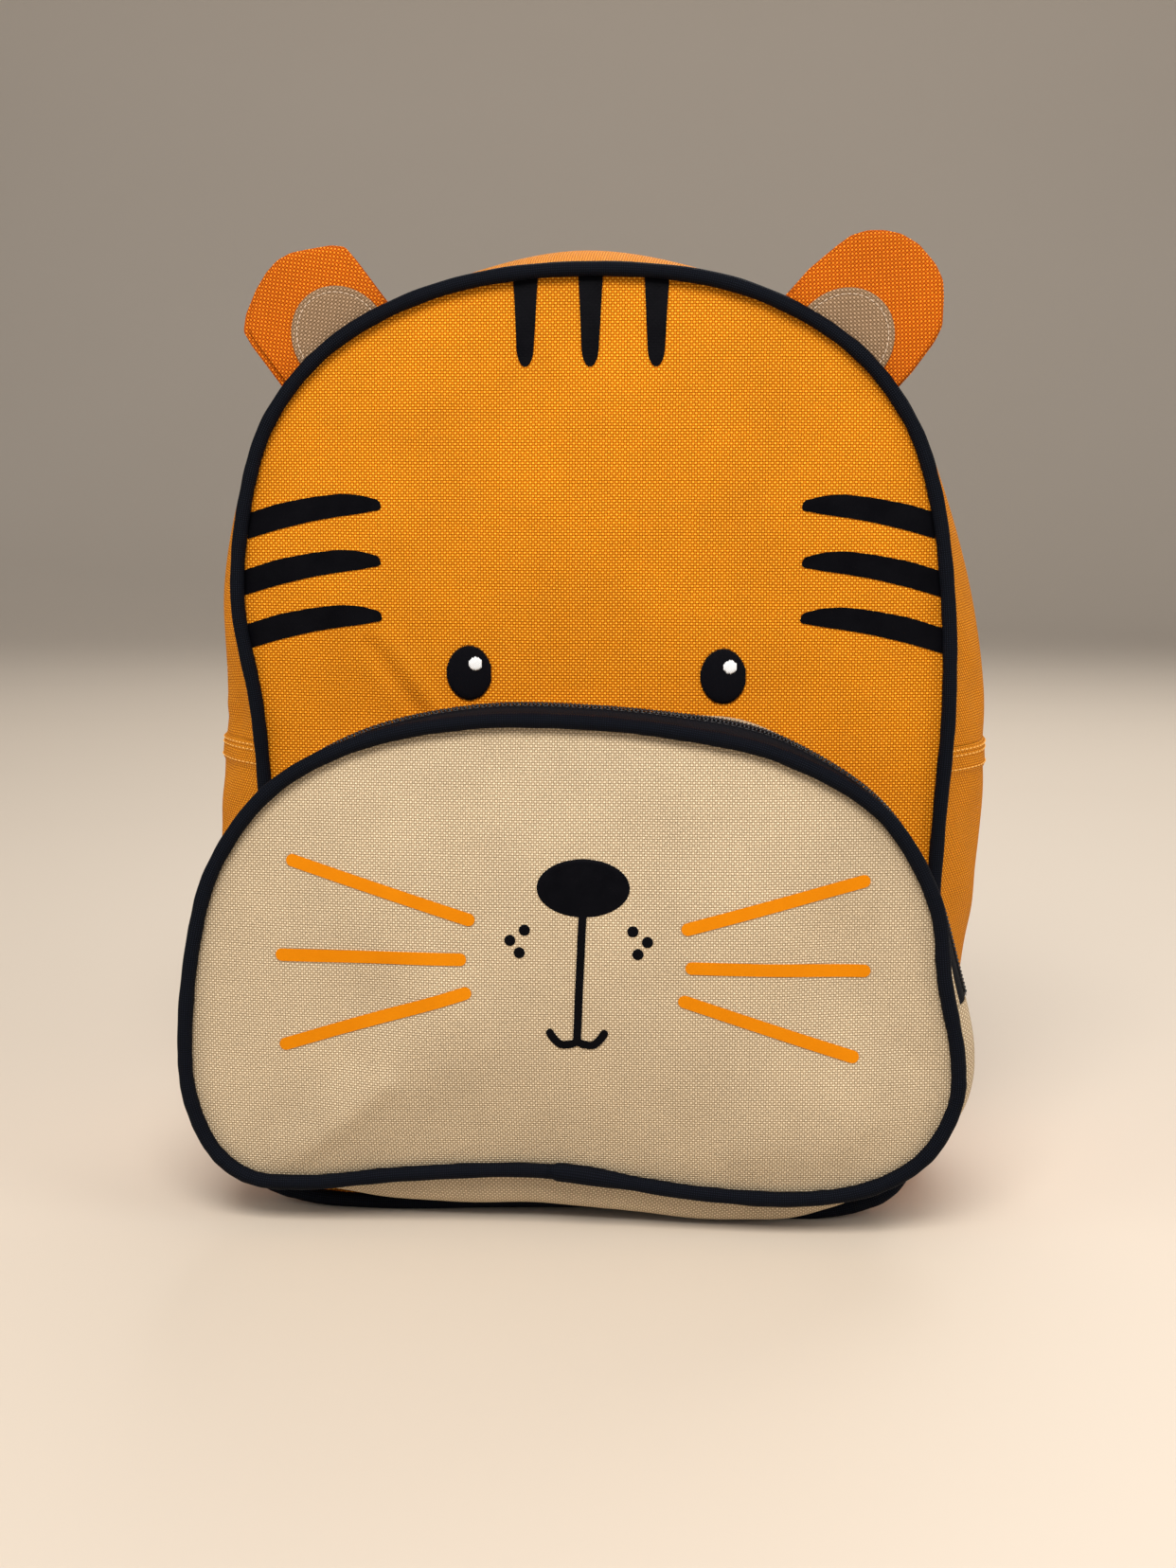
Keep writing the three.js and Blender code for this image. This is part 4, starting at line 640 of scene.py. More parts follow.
def piping(name, seam, seam_y, swell_at, node, count=720):
    """A round tube over a seam. swell_at gives how much fatter the cover is at each share of its length."""
    turn = np.mod(np.linspace(0, 1, count, endpoint=False) + PIPING_START, 1)
    q = ring_at(seam, turn)
    slope = (seam_y(q[:, 1] + 1) - seam_y(q[:, 1] - 1)) / 2
    forward = PIPING_SEAT * np.hypot(1, slope * q[:, 2])
    run = length_along(q[:, :2])
    angle = np.linspace(0, 2 * math.pi, PIPING_SIDES, endpoint=False)[:, None]
    radius = PIPING_RADIUS + PIPING_COVER + swell_at(turn)
    out = PIPING_SEAT + radius * np.cos(angle)
    y = seam_y(q[:, 1]) - forward + radius * np.sin(angle)
    points = stack(q[:, 0] + q[:, 2] * out, y, np.maximum(q[:, 1] + q[:, 3] * out, 0.05))
    ids = np.arange(PIPING_SIDES * count).reshape(PIPING_SIDES, count)
    right, down = np.roll(ids, -1, 1), np.roll(ids, -1, 0)
    both = np.roll(right, -1, 0)
    faces = np.stack([ids, right, both, down], -1).reshape(-1, 4).tolist()
    around = angle * PIPING_RADIUS + 0 * run
    uv = np.stack([run + 0 * angle, around], -1).reshape(-1, 2)
    finish_piece(mesh_piece(name, points.reshape(-1, 3), faces, uv), piping_cloth, "piping_cloth", node)


def lumps(turn):
    return 0.07 * np.sin(turn * 173) * np.sin(turn * 61 + 1) + 0.05 * np.sin(turn * 411 + 2)


piping("body_piping_cover", body_seam, front_seam_at, lumps, "body_piping")

# ---- Muzzle pocket ----------------------------------------------------------------------------------------
# A deep pocket of beige cloth with its own gusset, sewn to the front panel and closed by a zip over the top.
# The lower corners are pulled by the load: folds run in from them, and the strip below is rumpled.
POCKET_WIDTH, POCKET_HEIGHT, POCKET_DEPTH = 247, 166.5, 46
POCKET_CROWN, POCKET_BULGE = 11, 7
POCKET_FRONT = FRONT - POCKET_DEPTH
SEWN_WIDTH, SEWN_LIFT = 208, 1.5
POCKET_ZIP_WIDTH, POCKET_ZIP_SETBACK = 20, 3
POCKET_ZIP_END = 75  # height at which the zip's ends lie
POCKET_OUTLINE = {
    "bottom": (-0.1, 0.124, 2.4),
    "top": (0.005, 0.998, 0.72),
    "left": [
        (0.461, 0.111, 2.1), (0.735, 0.089, 0.8), (0.874, 0.098, 0.4), (0.964, 0.148, 0.9),
        (1.025, 0.25, 0.8), (1.037, 0.361, 0.75), (1.005, 0.57, 0.75), (0.946, 0.714, 0.6),
        (0.798, 0.861, 0.45), (0.573, 0.953, 0.53), (0.274, 0.997, 0.7),
    ],
    "right": [
        (0.32, 0.085, 2), (0.585, 0.08, 1.6), (0.768, 0.109, 0.8), (0.89, 0.171, 0.9),
        (0.96, 0.273, 1.5), (0.964, 0.36, 1.7), (0.926, 0.509, 1.5), (0.896, 0.663, 0.85),
        (0.76, 0.83, 0.55), (0.51, 0.937, 0.58), (0.242, 0.981, 0.65),
    ],
}
POCKET_FOLDS = [
    (-91, 24, -44, 73, 14.8, 2.2), (-106, 40, -69, 76, 14.8, -2.2), (109, 60, 86, 95, 16, -5.5),
    (106, 50, 57, 24, 16, 2.64), (-97, 18, -62, 50, 4.5, 1.7), (-104, 27, -74, 58, 6, -1.7),
    (113, 52, 101, 64, 4.5, -2.2), (109, 46, 82, 32, 7, 1.6), (20, 22, 60, 28, 8, 0.7),
    (-30, 22, 10, 27, 8, -0.7), (-10, 95, 60, 100, 34, 0.5), (40, 70, 90, 74, 16, -0.6),
]
# Thread colour, then the painted shade between threads, then the painted highlight on the crests
beige_cloth = cloth("beige_cloth", (0.58, 0.45, 0.29), (0.26, 0.18, 0.10), (0.86, 0.72, 0.52), threads=1.3)

pocket_piping_ring = ring_from(POCKET_OUTLINE, POCKET_WIDTH, POCKET_HEIGHT, POCKET_BULGE)
pocket_seam = offset_ring(pocket_piping_ring, -PIPING_SEAT)
POCKET_CENTRE = (0, POCKET_HEIGHT / 2)
pinch = 1 - SEWN_WIDTH / POCKET_WIDTH
seam_share = pocket_seam[:, 0] / (POCKET_WIDTH / 2)
sewn_x = pocket_seam[:, 0] * (1 - pinch * seam_share**4)
high = np.clip((pocket_seam[:, 1] / POCKET_HEIGHT - 0.6) / 0.2, 0, 1)
pull = 5.5 * np.exp(-(((seam_share - 0.4) / 0.2) ** 2)) - 2.5
sewn_z = pocket_seam[:, 1] + SEWN_LIFT + high * high * (3 - 2 * high) * pull
nearby = []
for side in (-1, 0, 1):
    for inset in (0, FABRIC):
        nx, nz = pocket_seam[:, 2], pocket_seam[:, 3]
        reach = side * 2 * FABRIC
        nearby.append(body_face(sewn_x - nx * inset - nz * reach, sewn_z - nz * inset + nx * reach))
sewn_line = stack(sewn_x, np.min(nearby, axis=0) - 2 * SEAM_GAP, sewn_z)


def pocket_face(x, z, reach=None):
    reach = reach_of(pocket_seam, POCKET_CENTRE, x, z) if reach is None else reach
    return POCKET_FRONT - (1 - reach * reach) * (POCKET_CROWN + folds_at(POCKET_FOLDS, x, z))


x, z, reach = grid_in(pocket_seam, POCKET_CENTRE, 168)
y = pocket_face(x, z, reach)
finish_piece(sheet("pocket_cloth", x, z, y, y + FABRIC), beige_cloth, "beige_cloth", "pocket_front")


def pocket_gusset_point(turn, across, lift=0.0):
    q = ring_at(pocket_seam, turn)
    sewn = ring_at(sewn_line, turn)
    x0, z0, nx, nz, swell = (q[..., k] for k in range(5))
    start = POCKET_FRONT + FABRIC + SEAM_GAP
    rumple = 0.5 * np.sin(turn * 150 + across * 4) * np.sin(turn * 47) * np.clip(1 - z0 / 60, 0, 1)
    out = (swell + rumple) * np.sin(math.pi * np.clip(across, 0, 1) ** 0.6) + lift
    x = x0 + (sewn[..., 0] - x0) * across + nx * out
    z = z0 + (sewn[..., 2] - z0) * across + nz * out
    low = np.where(np.asarray(lift) < 0, -np.asarray(lift), 0.05)
    return stack(x, start + (sewn[..., 1] - start) * across, np.maximum(z, low))


POCKET_SPAN = POCKET_DEPTH - FABRIC - SEAM_GAP
pocket_zip_right = turn_at_height(pocket_seam, POCKET_ZIP_END, 1)
pocket_zip_left = turn_at_height(pocket_seam, POCKET_ZIP_END, -1)
pocket_zip_from = POCKET_ZIP_SETBACK / POCKET_SPAN
pocket_zip_to = pocket_zip_from + POCKET_ZIP_WIDTH / POCKET_SPAN
pocket_gap = SEAM_GAP / POCKET_SPAN
pocket_end_gap = pocket_zip_right - turn_at_height(pocket_seam, POCKET_ZIP_END - SEAM_GAP, 1)
arch = np.linspace(pocket_zip_right, pocket_zip_left, 320)
under = np.linspace(pocket_zip_left - 1 + pocket_end_gap, pocket_zip_right - pocket_end_gap, 360)

for name, turns, start, end, rows, node in [
    ("pocket_under_cloth", under, 0, 1, 33, "pocket_gusset_under"),
    ("pocket_edge_cloth", arch, 0, pocket_zip_from - pocket_gap, 5, "pocket_gusset_front_edge"),
    ("pocket_back_cloth", arch, pocket_zip_to + pocket_gap, 1, 13, "pocket_gusset_back_strip"),
]:
    side_cloth = strip(name, pocket_gusset_point, turns, np.linspace(start, end, rows))
    finish_piece(side_cloth, beige_cloth, "beige_cloth", node)


def pocket_zip_point(turn, share, lift=0.0):
    return pocket_gusset_point(turn, pocket_zip_from + (pocket_zip_to - pocket_zip_from) * share, lift)


zip_turns = np.linspace(pocket_zip_right, pocket_zip_left, 260)
zip_parts("pocket_zip", pocket_zip_point, zip_turns, POCKET_ZIP_WIDTH, "pocket_zip")


def pocket_lumps(turn):
    """The cover's two ends overlap near the middle of the bottom."""
    place = np.mod(turn - PIPING_START, 1)
    lap = np.clip(place / 0.0016, 0, 1) * np.clip((0.021 - place) / 0.012, 0, 1)
    return lumps(turn) + 0.6 * lap


piping("pocket_piping_cover", pocket_seam, lambda z: POCKET_FRONT + 0 * z, pocket_lumps, "pocket_piping")

# ---- Zip sliders ------------------------------------------------------------------------------------------
# Dark painted die-cast sliders, parked at the left ends of their zips, each with a plain pull. Both keep their
# CAD shape, with the edges rounded.
slider_metal, tree = new_material("slider_metal")
dust = noise(tree, object_place(tree), 420, 4)
surface(
    tree, Base_Color=blend(tree, dust, (0.014, 0.014, 0.016), (0.05, 0.05, 0.055)), Metallic=0.6,
    Roughness=remap(tree, dust, 0.3, 0.7, 0.3, 0.5), Normal=raised(tree, dust, 0.15, 0.1 * MM))


def rounded_copy(name, node, width, material, slot):
    """A copy of a hard CAD node with its doubles merged, its flat faces whole and its edges rounded."""
    bpy.ops.object.select_all(action="DESELECT")
    made = bpy.data.objects.new(name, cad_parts[node].data.copy())
    scene.collection.objects.link(made)
    made.select_set(True)
    bpy.context.view_layer.objects.active = made
    bpy.ops.object.mode_set(mode="EDIT")
    bpy.ops.mesh.select_all(action="SELECT")
    bpy.ops.mesh.remove_doubles(threshold=0.00001)
    bpy.ops.mesh.dissolve_limited(angle_limit=math.radians(2))
    bpy.ops.object.mode_set(mode="OBJECT")
    edge = made.modifiers.new("rounding", "BEVEL")
    edge.width = width
    edge.segments = 3
    edge.limit_method = "ANGLE"
    edge.angle_limit = math.radians(35)
    bpy.ops.object.modifier_apply(modifier="rounding")
    bpy.ops.object.shade_smooth_by_angle(angle=math.radians(30))
    return finish_piece(made, material, slot, node)


rounded_copy("main_slider", "main_zip_slider", 0.0006, slider_metal, "slider_metal")
rounded_copy("pocket_slider", "pocket_zip_slider", 0.0006, slider_metal, "slider_metal")

# ---- Ears -------------------------------------------------------------------------------------------------
# Two layers of orange cloth sewn together and turned out, so that their folded edges show as a double rim.
# A half-round patch of beige cloth is stitched on the front, and the foot is caught in the seam.
EAR_SEAT = 1.7
EAR_EDGE = 1.1  # rounding of a layer's edge
EAR_SEAM = 2.6  # from the edge to the sunk seam inside it
PATCH_SEAM = 2
EAR_FRONT = FRONT - PIPING_SEAT + PIPING_RADIUS + SEAM_GAP
PATCH_WIDTH, PATCH_HEIGHT = 31.5, 17.6
EARS = [
    # side, sign, height share, lean, half width, height, patch shift, how far the rear layer shows at the left
    ("left", -1, 0.929, 37, 22, 32.9, 0.7, 1.5),
    ("right", 1, 0.933, 42, 23.7, 38.5, 3.1, 0.5),
]
# The rim from the left foot to the right one, as shares of half the width and of the height
EAR_RIMS = {
    "left": [
        (-1.12, 0), (-1.12, 0.5), (-1.09, 0.66), (-0.9, 0.78), (-0.56, 0.905), (-0.28, 0.975), (-0.04, 1),
        (0.19, 0.975), (0.46, 0.885), (0.74, 0.785), (0.89, 0.69), (0.91, 0.5), (0.91, 0),
    ],
    "right": [
        (-0.862, 0), (-0.862, 0.25), (-0.792, 0.54), (-0.742, 0.68), (-0.622, 0.8), (-0.452, 0.895),
        (-0.252, 0.965), (0.018, 1), (0.368, 0.975), (0.588, 0.92), (0.748, 0.825), (0.998, 0.645),
        (1.068, 0.5), (1.118, 0.2), (1.118, 0),
    ],
}


def ear_rim(side, half, height, left_inset, right_inset, top_inset):
    """Points of a layer's rim with softened corners, from its left foot to its right one, in millimetres."""
    rim = np.array(EAR_RIMS[side]) * (half, height)
    left, right = rim[:, 0].min(), rim[:, 0].max()
    rim[:, 0] = left + left_inset + (rim[:, 0] - left) * (1 - (left_inset + right_inset) / (right - left))
    rim[:, 1] *= 1 - top_inset / height
    rim = resampled(rim, 240)
    soften(rim, 5)
    rim[:, 0] += np.arange(240) * 1e-5
    return rim


def distance_to(line, x, y):
    """How far each point lies from a line of points."""
    found = np.full(x.shape, 1e3)
    for (ax, ay), (bx, by) in zip(line, line[1:]):
        dx, dy = bx - ax, by - ay
        share = np.clip(((x - ax) * dx + (y - ay) * dy) / (dx * dx + dy * dy), 0, 1)
        found = np.minimum(found, np.hypot(x - ax - share * dx, y - ay - share * dy))
    return found


def foot_height(ring, origin, along, up, x):
    """How high above the ear's own base line the ring passes, for each place on the base."""
    rise = np.linspace(-14, 20, 700)
    spots = origin + x[:, None, None] * along + rise[None, :, None] * up
    inside = reach_of(ring, BODY_CENTRE, spots[..., 0], spots[..., 1]) < 1
    return np.array([rise[np.nonzero(row)[0][-1]] if row.any() else rise[0] for row in inside])


# For both cloths: thread colour, then the painted shade between threads, then the painted highlight on the crests
ear_cloth = cloth("ear_cloth", (0.60, 0.125, 0.002), (0.22, 0.03, 0.0004), (0.88, 0.30, 0.02), turn=90)
patch_cloth = cloth("patch_cloth", (0.31, 0.195, 0.11), (0.12, 0.07, 0.035), (0.48, 0.33, 0.21))
beige_thread = thread_material("beige_thread", (0.66, 0.5, 0.36))
patch_foot_ring = offset_ring(body_seam, PIPING_SEAT + PIPING_RADIUS - 0.4)
ear_foot_ring = offset_ring(body_seam, EAR_SEAT)
for side, sign, base, lean, half, height, shift, show in EARS:
    q = ring_at(piping_ring, turn_at_height(piping_ring, BODY_HEIGHT * base, sign))
    up = np.array([sign * math.sin(math.radians(lean)), math.cos(math.radians(lean))])
    along = np.array([up[1], -up[0]])
    origin = q[:2]

    def ear_sheet(name, px, py, front, back):
        """A wall of the ear over places in its own frame, between two depths behind the ear's front."""
        x, z = np.moveaxis(origin + px[..., None] * along + py[..., None] * up, -1, 0)
        outer, inner = (stack(x, EAR_FRONT + depth, z) for depth in (front, back))
        return wall(name, outer, inner, np.stack([px, py], -1), crease=80)

    def ear_layer(name, near, far, rim, puff):
        """One layer of the ear as a pad with rounded edges, between two depths behind the face."""
        share = 0.5 - 0.5 * np.cos(np.linspace(0, math.pi, 84))
        px = rim[0, 0] + (rim[-1, 0] - rim[0, 0]) * share
        top = np.interp(px, rim[:, 0], rim[:, 1])
        low = np.minimum(foot_height(ear_foot_ring, origin, along, up, px) + 0.05, top - 0.3)
        v = np.concatenate([np.linspace(0, 0.9, 40), [0.93, 0.955, 0.975, 0.99, 1]])
        py = low[None, :] + (top - low)[None, :] * v[:, None]
        px = np.broadcast_to(px, py.shape)
        edge = distance_to(rim[::2], px, py)
        full = np.maximum(np.sqrt(1 - (1 - np.clip(edge / EAR_EDGE, 0, 1)) ** 2) * (far - near) / 2, 0.03)
        swell = puff * np.clip(edge / 12, 0, 1) ** 0.6
        swell = swell - 0.22 * puff * np.exp(-(((edge - EAR_SEAM) / 0.9) ** 2))
        middle = (near + far) / 2
        return ear_sheet(name, px, py, middle - full - swell, middle + full)

    front_layer = ear_layer(
        "ear_cloth_" + side, 0.15, 1.4, ear_rim(side, half, height, 0.5 + show, 0.6, 0.6 + show / 3), 0.35)
    finish_piece(front_layer, ear_cloth, "orange_cloth", "ear_" + side)
    rear_layer = ear_layer("ear_rear_cloth_" + side, 1.5, 2.75, ear_rim(side, half, height, 0, 0, 0), 0.0)
    finish_piece(rear_layer, ear_cloth, "orange_cloth")

    # The patch, whose foot is cut along the piping
    u = np.cos(np.linspace(math.pi, 0, 61))
    px = shift + u * PATCH_WIDTH / 2
    top = PATCH_HEIGHT * np.sqrt(np.clip(1 - u * u, 0, 1))
    low = foot_height(patch_foot_ring, origin, along, up, px)
    keep = top - low > 0.3
    px, top, low = px[keep], top[keep], low[keep]
    v = np.concatenate([np.linspace(0, 0.9, 24), [0.94, 0.97, 0.99, 1]])
    py = low[None, :] + (top - low)[None, :] * v[:, None]
    wide = np.broadcast_to(px, py.shape)
    rim = 1 - np.hypot((wide - shift) / (PATCH_WIDTH / 2), py / PATCH_HEIGHT)
    lift = 0.35 + 0.55 * np.sqrt(1 - (1 - np.clip(rim / 0.05, 0, 1)) ** 2)
    lift -= 0.28 * np.exp(-(((rim - 0.13) / 0.025) ** 2))
    patch = ear_sheet("patch_cloth_" + side, wide, py, -lift, -0.2)
    finish_piece(patch, patch_cloth, "beige_cloth", "ear_patch_" + side)
    # Its stitches, a little inside its rim
    arc = np.linspace(0.04, math.pi - 0.04, 90)
    sx, sy = shift + (PATCH_WIDTH / 2 - PATCH_SEAM) * np.cos(arc), (PATCH_HEIGHT - PATCH_SEAM) * np.sin(arc)
    spots = origin + sx[:, None] * along + sy[:, None] * up
    clear = reach_of(patch_foot_ring, BODY_CENTRE, spots[:, 0], spots[:, 1]) > 1
    line = stack(spots[:, 0], EAR_FRONT - 0.82 + 0 * sx, spots[:, 1])[clear]
    stitches = threads("patch_stitches_" + side, stitch_row(line, 1.5, 0.4), 0.2, 5)
    finish_piece(stitches, beige_thread, "beige_cloth")

# ---- Eyes -------------------------------------------------------------------------------------------------
# Embroidered in black: rows of satin thread over a padded oval, a little ragged at the edge, with a small
# round glint of white thread on top.
EYES = [("left", -0.336, 0.575), ("right", 0.372, 0.542)]
EYE_WIDTH, EYE_HEIGHT = 15, 18.5
GLINT = 4.4
ragged = np.random.default_rng(7)


def embroidery(name, cx, cz, wide, high, base, crown, pitch, radius, material, slot, node, ground):
    """Upright rows of satin thread over an oval, on a surface that ground gives, swelling towards the middle."""
    paths = []
    count = int(wide / pitch)
    for k in range(count):
        x = cx - wide / 2 + (k + 0.5) * pitch
        reach = math.sqrt(max(0.0, 1 - ((x - cx) / (wide / 2)) ** 2)) * high / 2
        low, top = cz - reach + ragged.uniform(-0.22, 0.18), cz + reach + ragged.uniform(-0.18, 0.22)
        z = np.linspace(low, top, 15)
        share = np.hypot((x - cx) / (wide / 2), (z - cz) / (high / 2))
        rise = base + crown * np.sqrt(np.clip(1 - share**2, 0, 1)) + ragged.uniform(0, 0.05)
        paths.append(stack(x + 0 * z, ground(x + 0 * z, z) - rise, z))
    finish_piece(threads(name, paths, radius), material, slot, node)


def disk(name, cx, cz, wide, high, face, lift, thickness, cells=24):
    """An oval film that follows the cloth under it."""
    angle = np.linspace(0, 2 * math.pi, 96, endpoint=False) - math.pi / 2
    rim = np.stack([cx + np.cos(angle) * wide / 2, cz + np.sin(angle) * high / 2, *([np.zeros(96)] * 3)], 1)
    x, z, reach = grid_in(rim, (cx, cz), cells)
    ground = face(x, z)
    thin = thickness * np.sqrt(1 - np.clip((reach - 0.94) / 0.06, 0, 1) ** 2 * 0.9)
    return sheet(name, x, z, ground - lift - thin, ground - lift)


black_silk = thread_material("black_embroidery", (0.004, 0.004, 0.006), 0.45)
white_silk = thread_material("white_embroidery", (0.86, 0.87, 0.88), 0.4)
for side, x_share, over in EYES:
    cx, cz = x_share * BODY_WIDTH / 2, POCKET_HEIGHT + over * EYE_HEIGHT
    padding = disk("eye_padding_" + side, cx, cz, EYE_WIDTH - 0.7, EYE_HEIGHT - 0.7, body_face, 0.02, 0.55)
    finish_piece(padding, black_silk, "black_thread")
    embroidery(
        "eye_threads_" + side, cx, cz, EYE_WIDTH, EYE_HEIGHT, 0.3, 0.65, 0.36, 0.25, black_silk, "black_thread",
        "eye_" + side, body_face)
    gx, gz = cx + 0.15 * EYE_WIDTH, cz + 0.17 * EYE_HEIGHT
    embroidery(
        "glint_threads_" + side, gx, gz, GLINT, GLINT, 1.15, 0.4, 0.42, 0.28, white_silk, "white_thread",
        "eye_glint_" + side, body_face)

# ---- Black prints -----------------------------------------------------------------------------------------
# Heat-pressed black vinyl: three short stripes down from the top seam, three from each side and the nose with
# its mouth line. The film is smooth and half glossy, and the weave and small creases show through it.
FILM = 0.28
pressed_film, given = node_group("pressed_film", [
    ("Place", "V", "INPUT"), ("Weave", "F", "INPUT"), ("Crackle", "F", "INPUT"), ("Height", "F", "OUTPUT"),
    ("Scuff", "F", "OUTPUT"),
])
under_cloth = put(
    pressed_film, "ShaderNodeGroup", {"node_tree": weave}, Place=given["Place"], Threads=1 / THREAD / MM,
    Wander=0.6)
cracks = put(
    pressed_film, "ShaderNodeTexVoronoi", {"feature": "DISTANCE_TO_EDGE"}, Vector=given["Place"], Scale=420.0)
scuffs = noise(pressed_film, given["Place"], 90, 5, 0.65)
woven = sum_of(pressed_film, "MULTIPLY", under_cloth.outputs["Height"], given["Weave"])
broken = sum_of(pressed_film, "MULTIPLY", remap(pressed_film, cracks.outputs[0], 0, 0.12, 0, 1), given["Crackle"])
total = sum_of(pressed_film, "ADD", sum_of(pressed_film, "ADD", woven, broken), scuffs)
put(pressed_film, "NodeGroupOutput", Height=total, Scuff=scuffs)


def film(name, colour, scuffed, low=0.3, high=0.5, weave_share=0.35, crackle=0.2):
    material, tree = new_material(name)
    lay = put(tree, "ShaderNodeUVMap", {"uv_map": "cloth"}).outputs[0]
    pressed = put(
        tree, "ShaderNodeGroup", {"node_tree": pressed_film}, Place=lay, Weave=weave_share, Crackle=crackle)
    scuff = pressed.outputs["Scuff"]
    surface(
        tree, Base_Color=blend(tree, scuff, colour, scuffed), Roughness=remap(tree, scuff, 0.3, 0.7, low, high),
        Normal=raised(tree, pressed.outputs["Height"], 0.25, 0.15 * MM), Specular_IOR_Level=0.03)
    return material


BLACK_PRINT = (film("black_film", (0.001, 0.001, 0.0016), (0.003, 0.003, 0.0045)), "black_print")


def film_between(name, first, second, face, look, node=None, lift=0.06, across=9):
    """A film between two edges given as lists of x, z, following the cloth."""
    share = np.linspace(0, 1, across)[:, None]
    first, second = np.asarray(first, float), np.asarray(second, float)
    x = first[None, :, 0] * (1 - share) + second[None, :, 0] * share
    z = first[None, :, 1] * (1 - share) + second[None, :, 1] * share
    ground = face(x, z)
    made = sheet(name, x, z, ground - lift - FILM, ground - lift, crease=35)
    finish_piece(made, *look, *([node] if node else []))


STRIPE_WIDTH, STRIPE_LENGTH = 8, 25
print_ring = offset_ring(body_seam, PIPING_SEAT - PIPING_RADIUS + 0.9)  # the prints end under the piping
for place, x_share in [("left", -0.18), ("middle", -0.001), ("right", 0.18)]:
    cx = x_share * BODY_WIDTH / 2
    foot = BODY_HEIGHT - PIPING_RADIUS - 2 * PIPING_SEAT - STRIPE_LENGTH + SEAM_GAP
    down = np.concatenate([1 - np.cos(np.linspace(0, math.pi / 2, 14)), 1 + 0.1 * np.arange(1, 40)])
    z = foot + down * 4
    top = np.interp(cx, print_ring[100:190, 0][::-1], print_ring[100:190, 1][::-1])
    z = z[z < top - 0.4]
    z = np.unique(np.concatenate([z, np.linspace(z[-1], top, 14)]))
    waist = foot + STRIPE_LENGTH * 0.3
    grown = np.clip((z - foot) / (waist - foot), 0, 1)
    tip, shaft = 0.72 * np.sqrt(1 - (1 - grown) ** 2.2), 0.72 + 0.28 * (z - waist) / (top - waist)
    half = np.maximum(STRIPE_WIDTH / 2 * np.where(z < waist, tip, shaft), 0.05)
    edges = [np.stack([cx + way * half, z], 1) for way in (-1, 1)]
    film_between("stripe_film_top_" + place, *edges, body_face, BLACK_PRINT, "stripe_top_" + place)

# How far from its tip, then the upper and the lower edge, as shares of half the body's width
SIDE_EDGES = np.array([
    (0, 0, 0), (0.004, 0.011, -0.004), (0.02, 0.023, -0.01), (0.06, 0.034, -0.018), (0.12, 0.037, -0.026),
    (0.2, 0.027, -0.04), (0.3, 0.008, -0.064), (0.42, -0.03, -0.1),
])
for sign, side in SIDES:
    for place, tip, up_share in [("upper", 0.582, 0.753), ("middle", 0.584, 0.6935), ("lower", 0.582, 0.6345)]:
        half, z0 = BODY_WIDTH / 2, up_share * BODY_HEIGHT
        out = np.concatenate([np.linspace(0, 0.02, 8), np.linspace(0.03, 0.42, 60)])
        rounding = np.sqrt(np.clip(1 - (1 - np.clip(out / 0.02, 0, 1)) ** 2, 0.0, 1))
        rise = []
        for column in (1, 2):
            edge = np.interp(out, SIDE_EDGES[:, 0], SIDE_EDGES[:, column])
            soften(edge, 6, 10)
            rise.append(np.where(out < 0.02, SIDE_EDGES[2, column] * rounding, edge))
        x = sign * (tip + out) * half
        clear = reach_of(print_ring, BODY_CENTRE, x, z0 + (rise[0] + rise[1]) / 2 * half) < 1
        upper, lower = (np.stack([x, z0 + edge * half], 1)[clear] for edge in rise)
        film_between(f"stripe_film_{side}_{place}", upper, lower, body_face, BLACK_PRINT, f"stripe_{side}_{place}")


def stroke_film(name, path, width, look, node=None, lift=0.06):
    """A film of even width with round ends along a line of points on the pocket."""
    spine = resampled(path, 60)
    ahead = np.gradient(spine, axis=0)
    ahead /= np.linalg.norm(ahead, axis=1)[:, None]
    normal = np.stack([-ahead[:, 1], ahead[:, 0]], 1)
    turn = np.linspace(0, math.pi / 2, 9)[:-1]
    half = width / 2
    start = [(spine[0] - ahead[0] * half * math.cos(a), half * math.sin(a), normal[0]) for a in turn]
    end = [(spine[-1] + ahead[-1] * half * math.cos(a), half * math.sin(a), normal[-1]) for a in turn[::-1]]
    rows = start + [(p, half, n) for p, n in zip(spine, normal)] + end
    edges = [[p + way * n * max(h, 0.02) for p, h, n in rows] for way in (1, -1)]
    film_between(name, *edges, pocket_face, look, node, lift, 7)


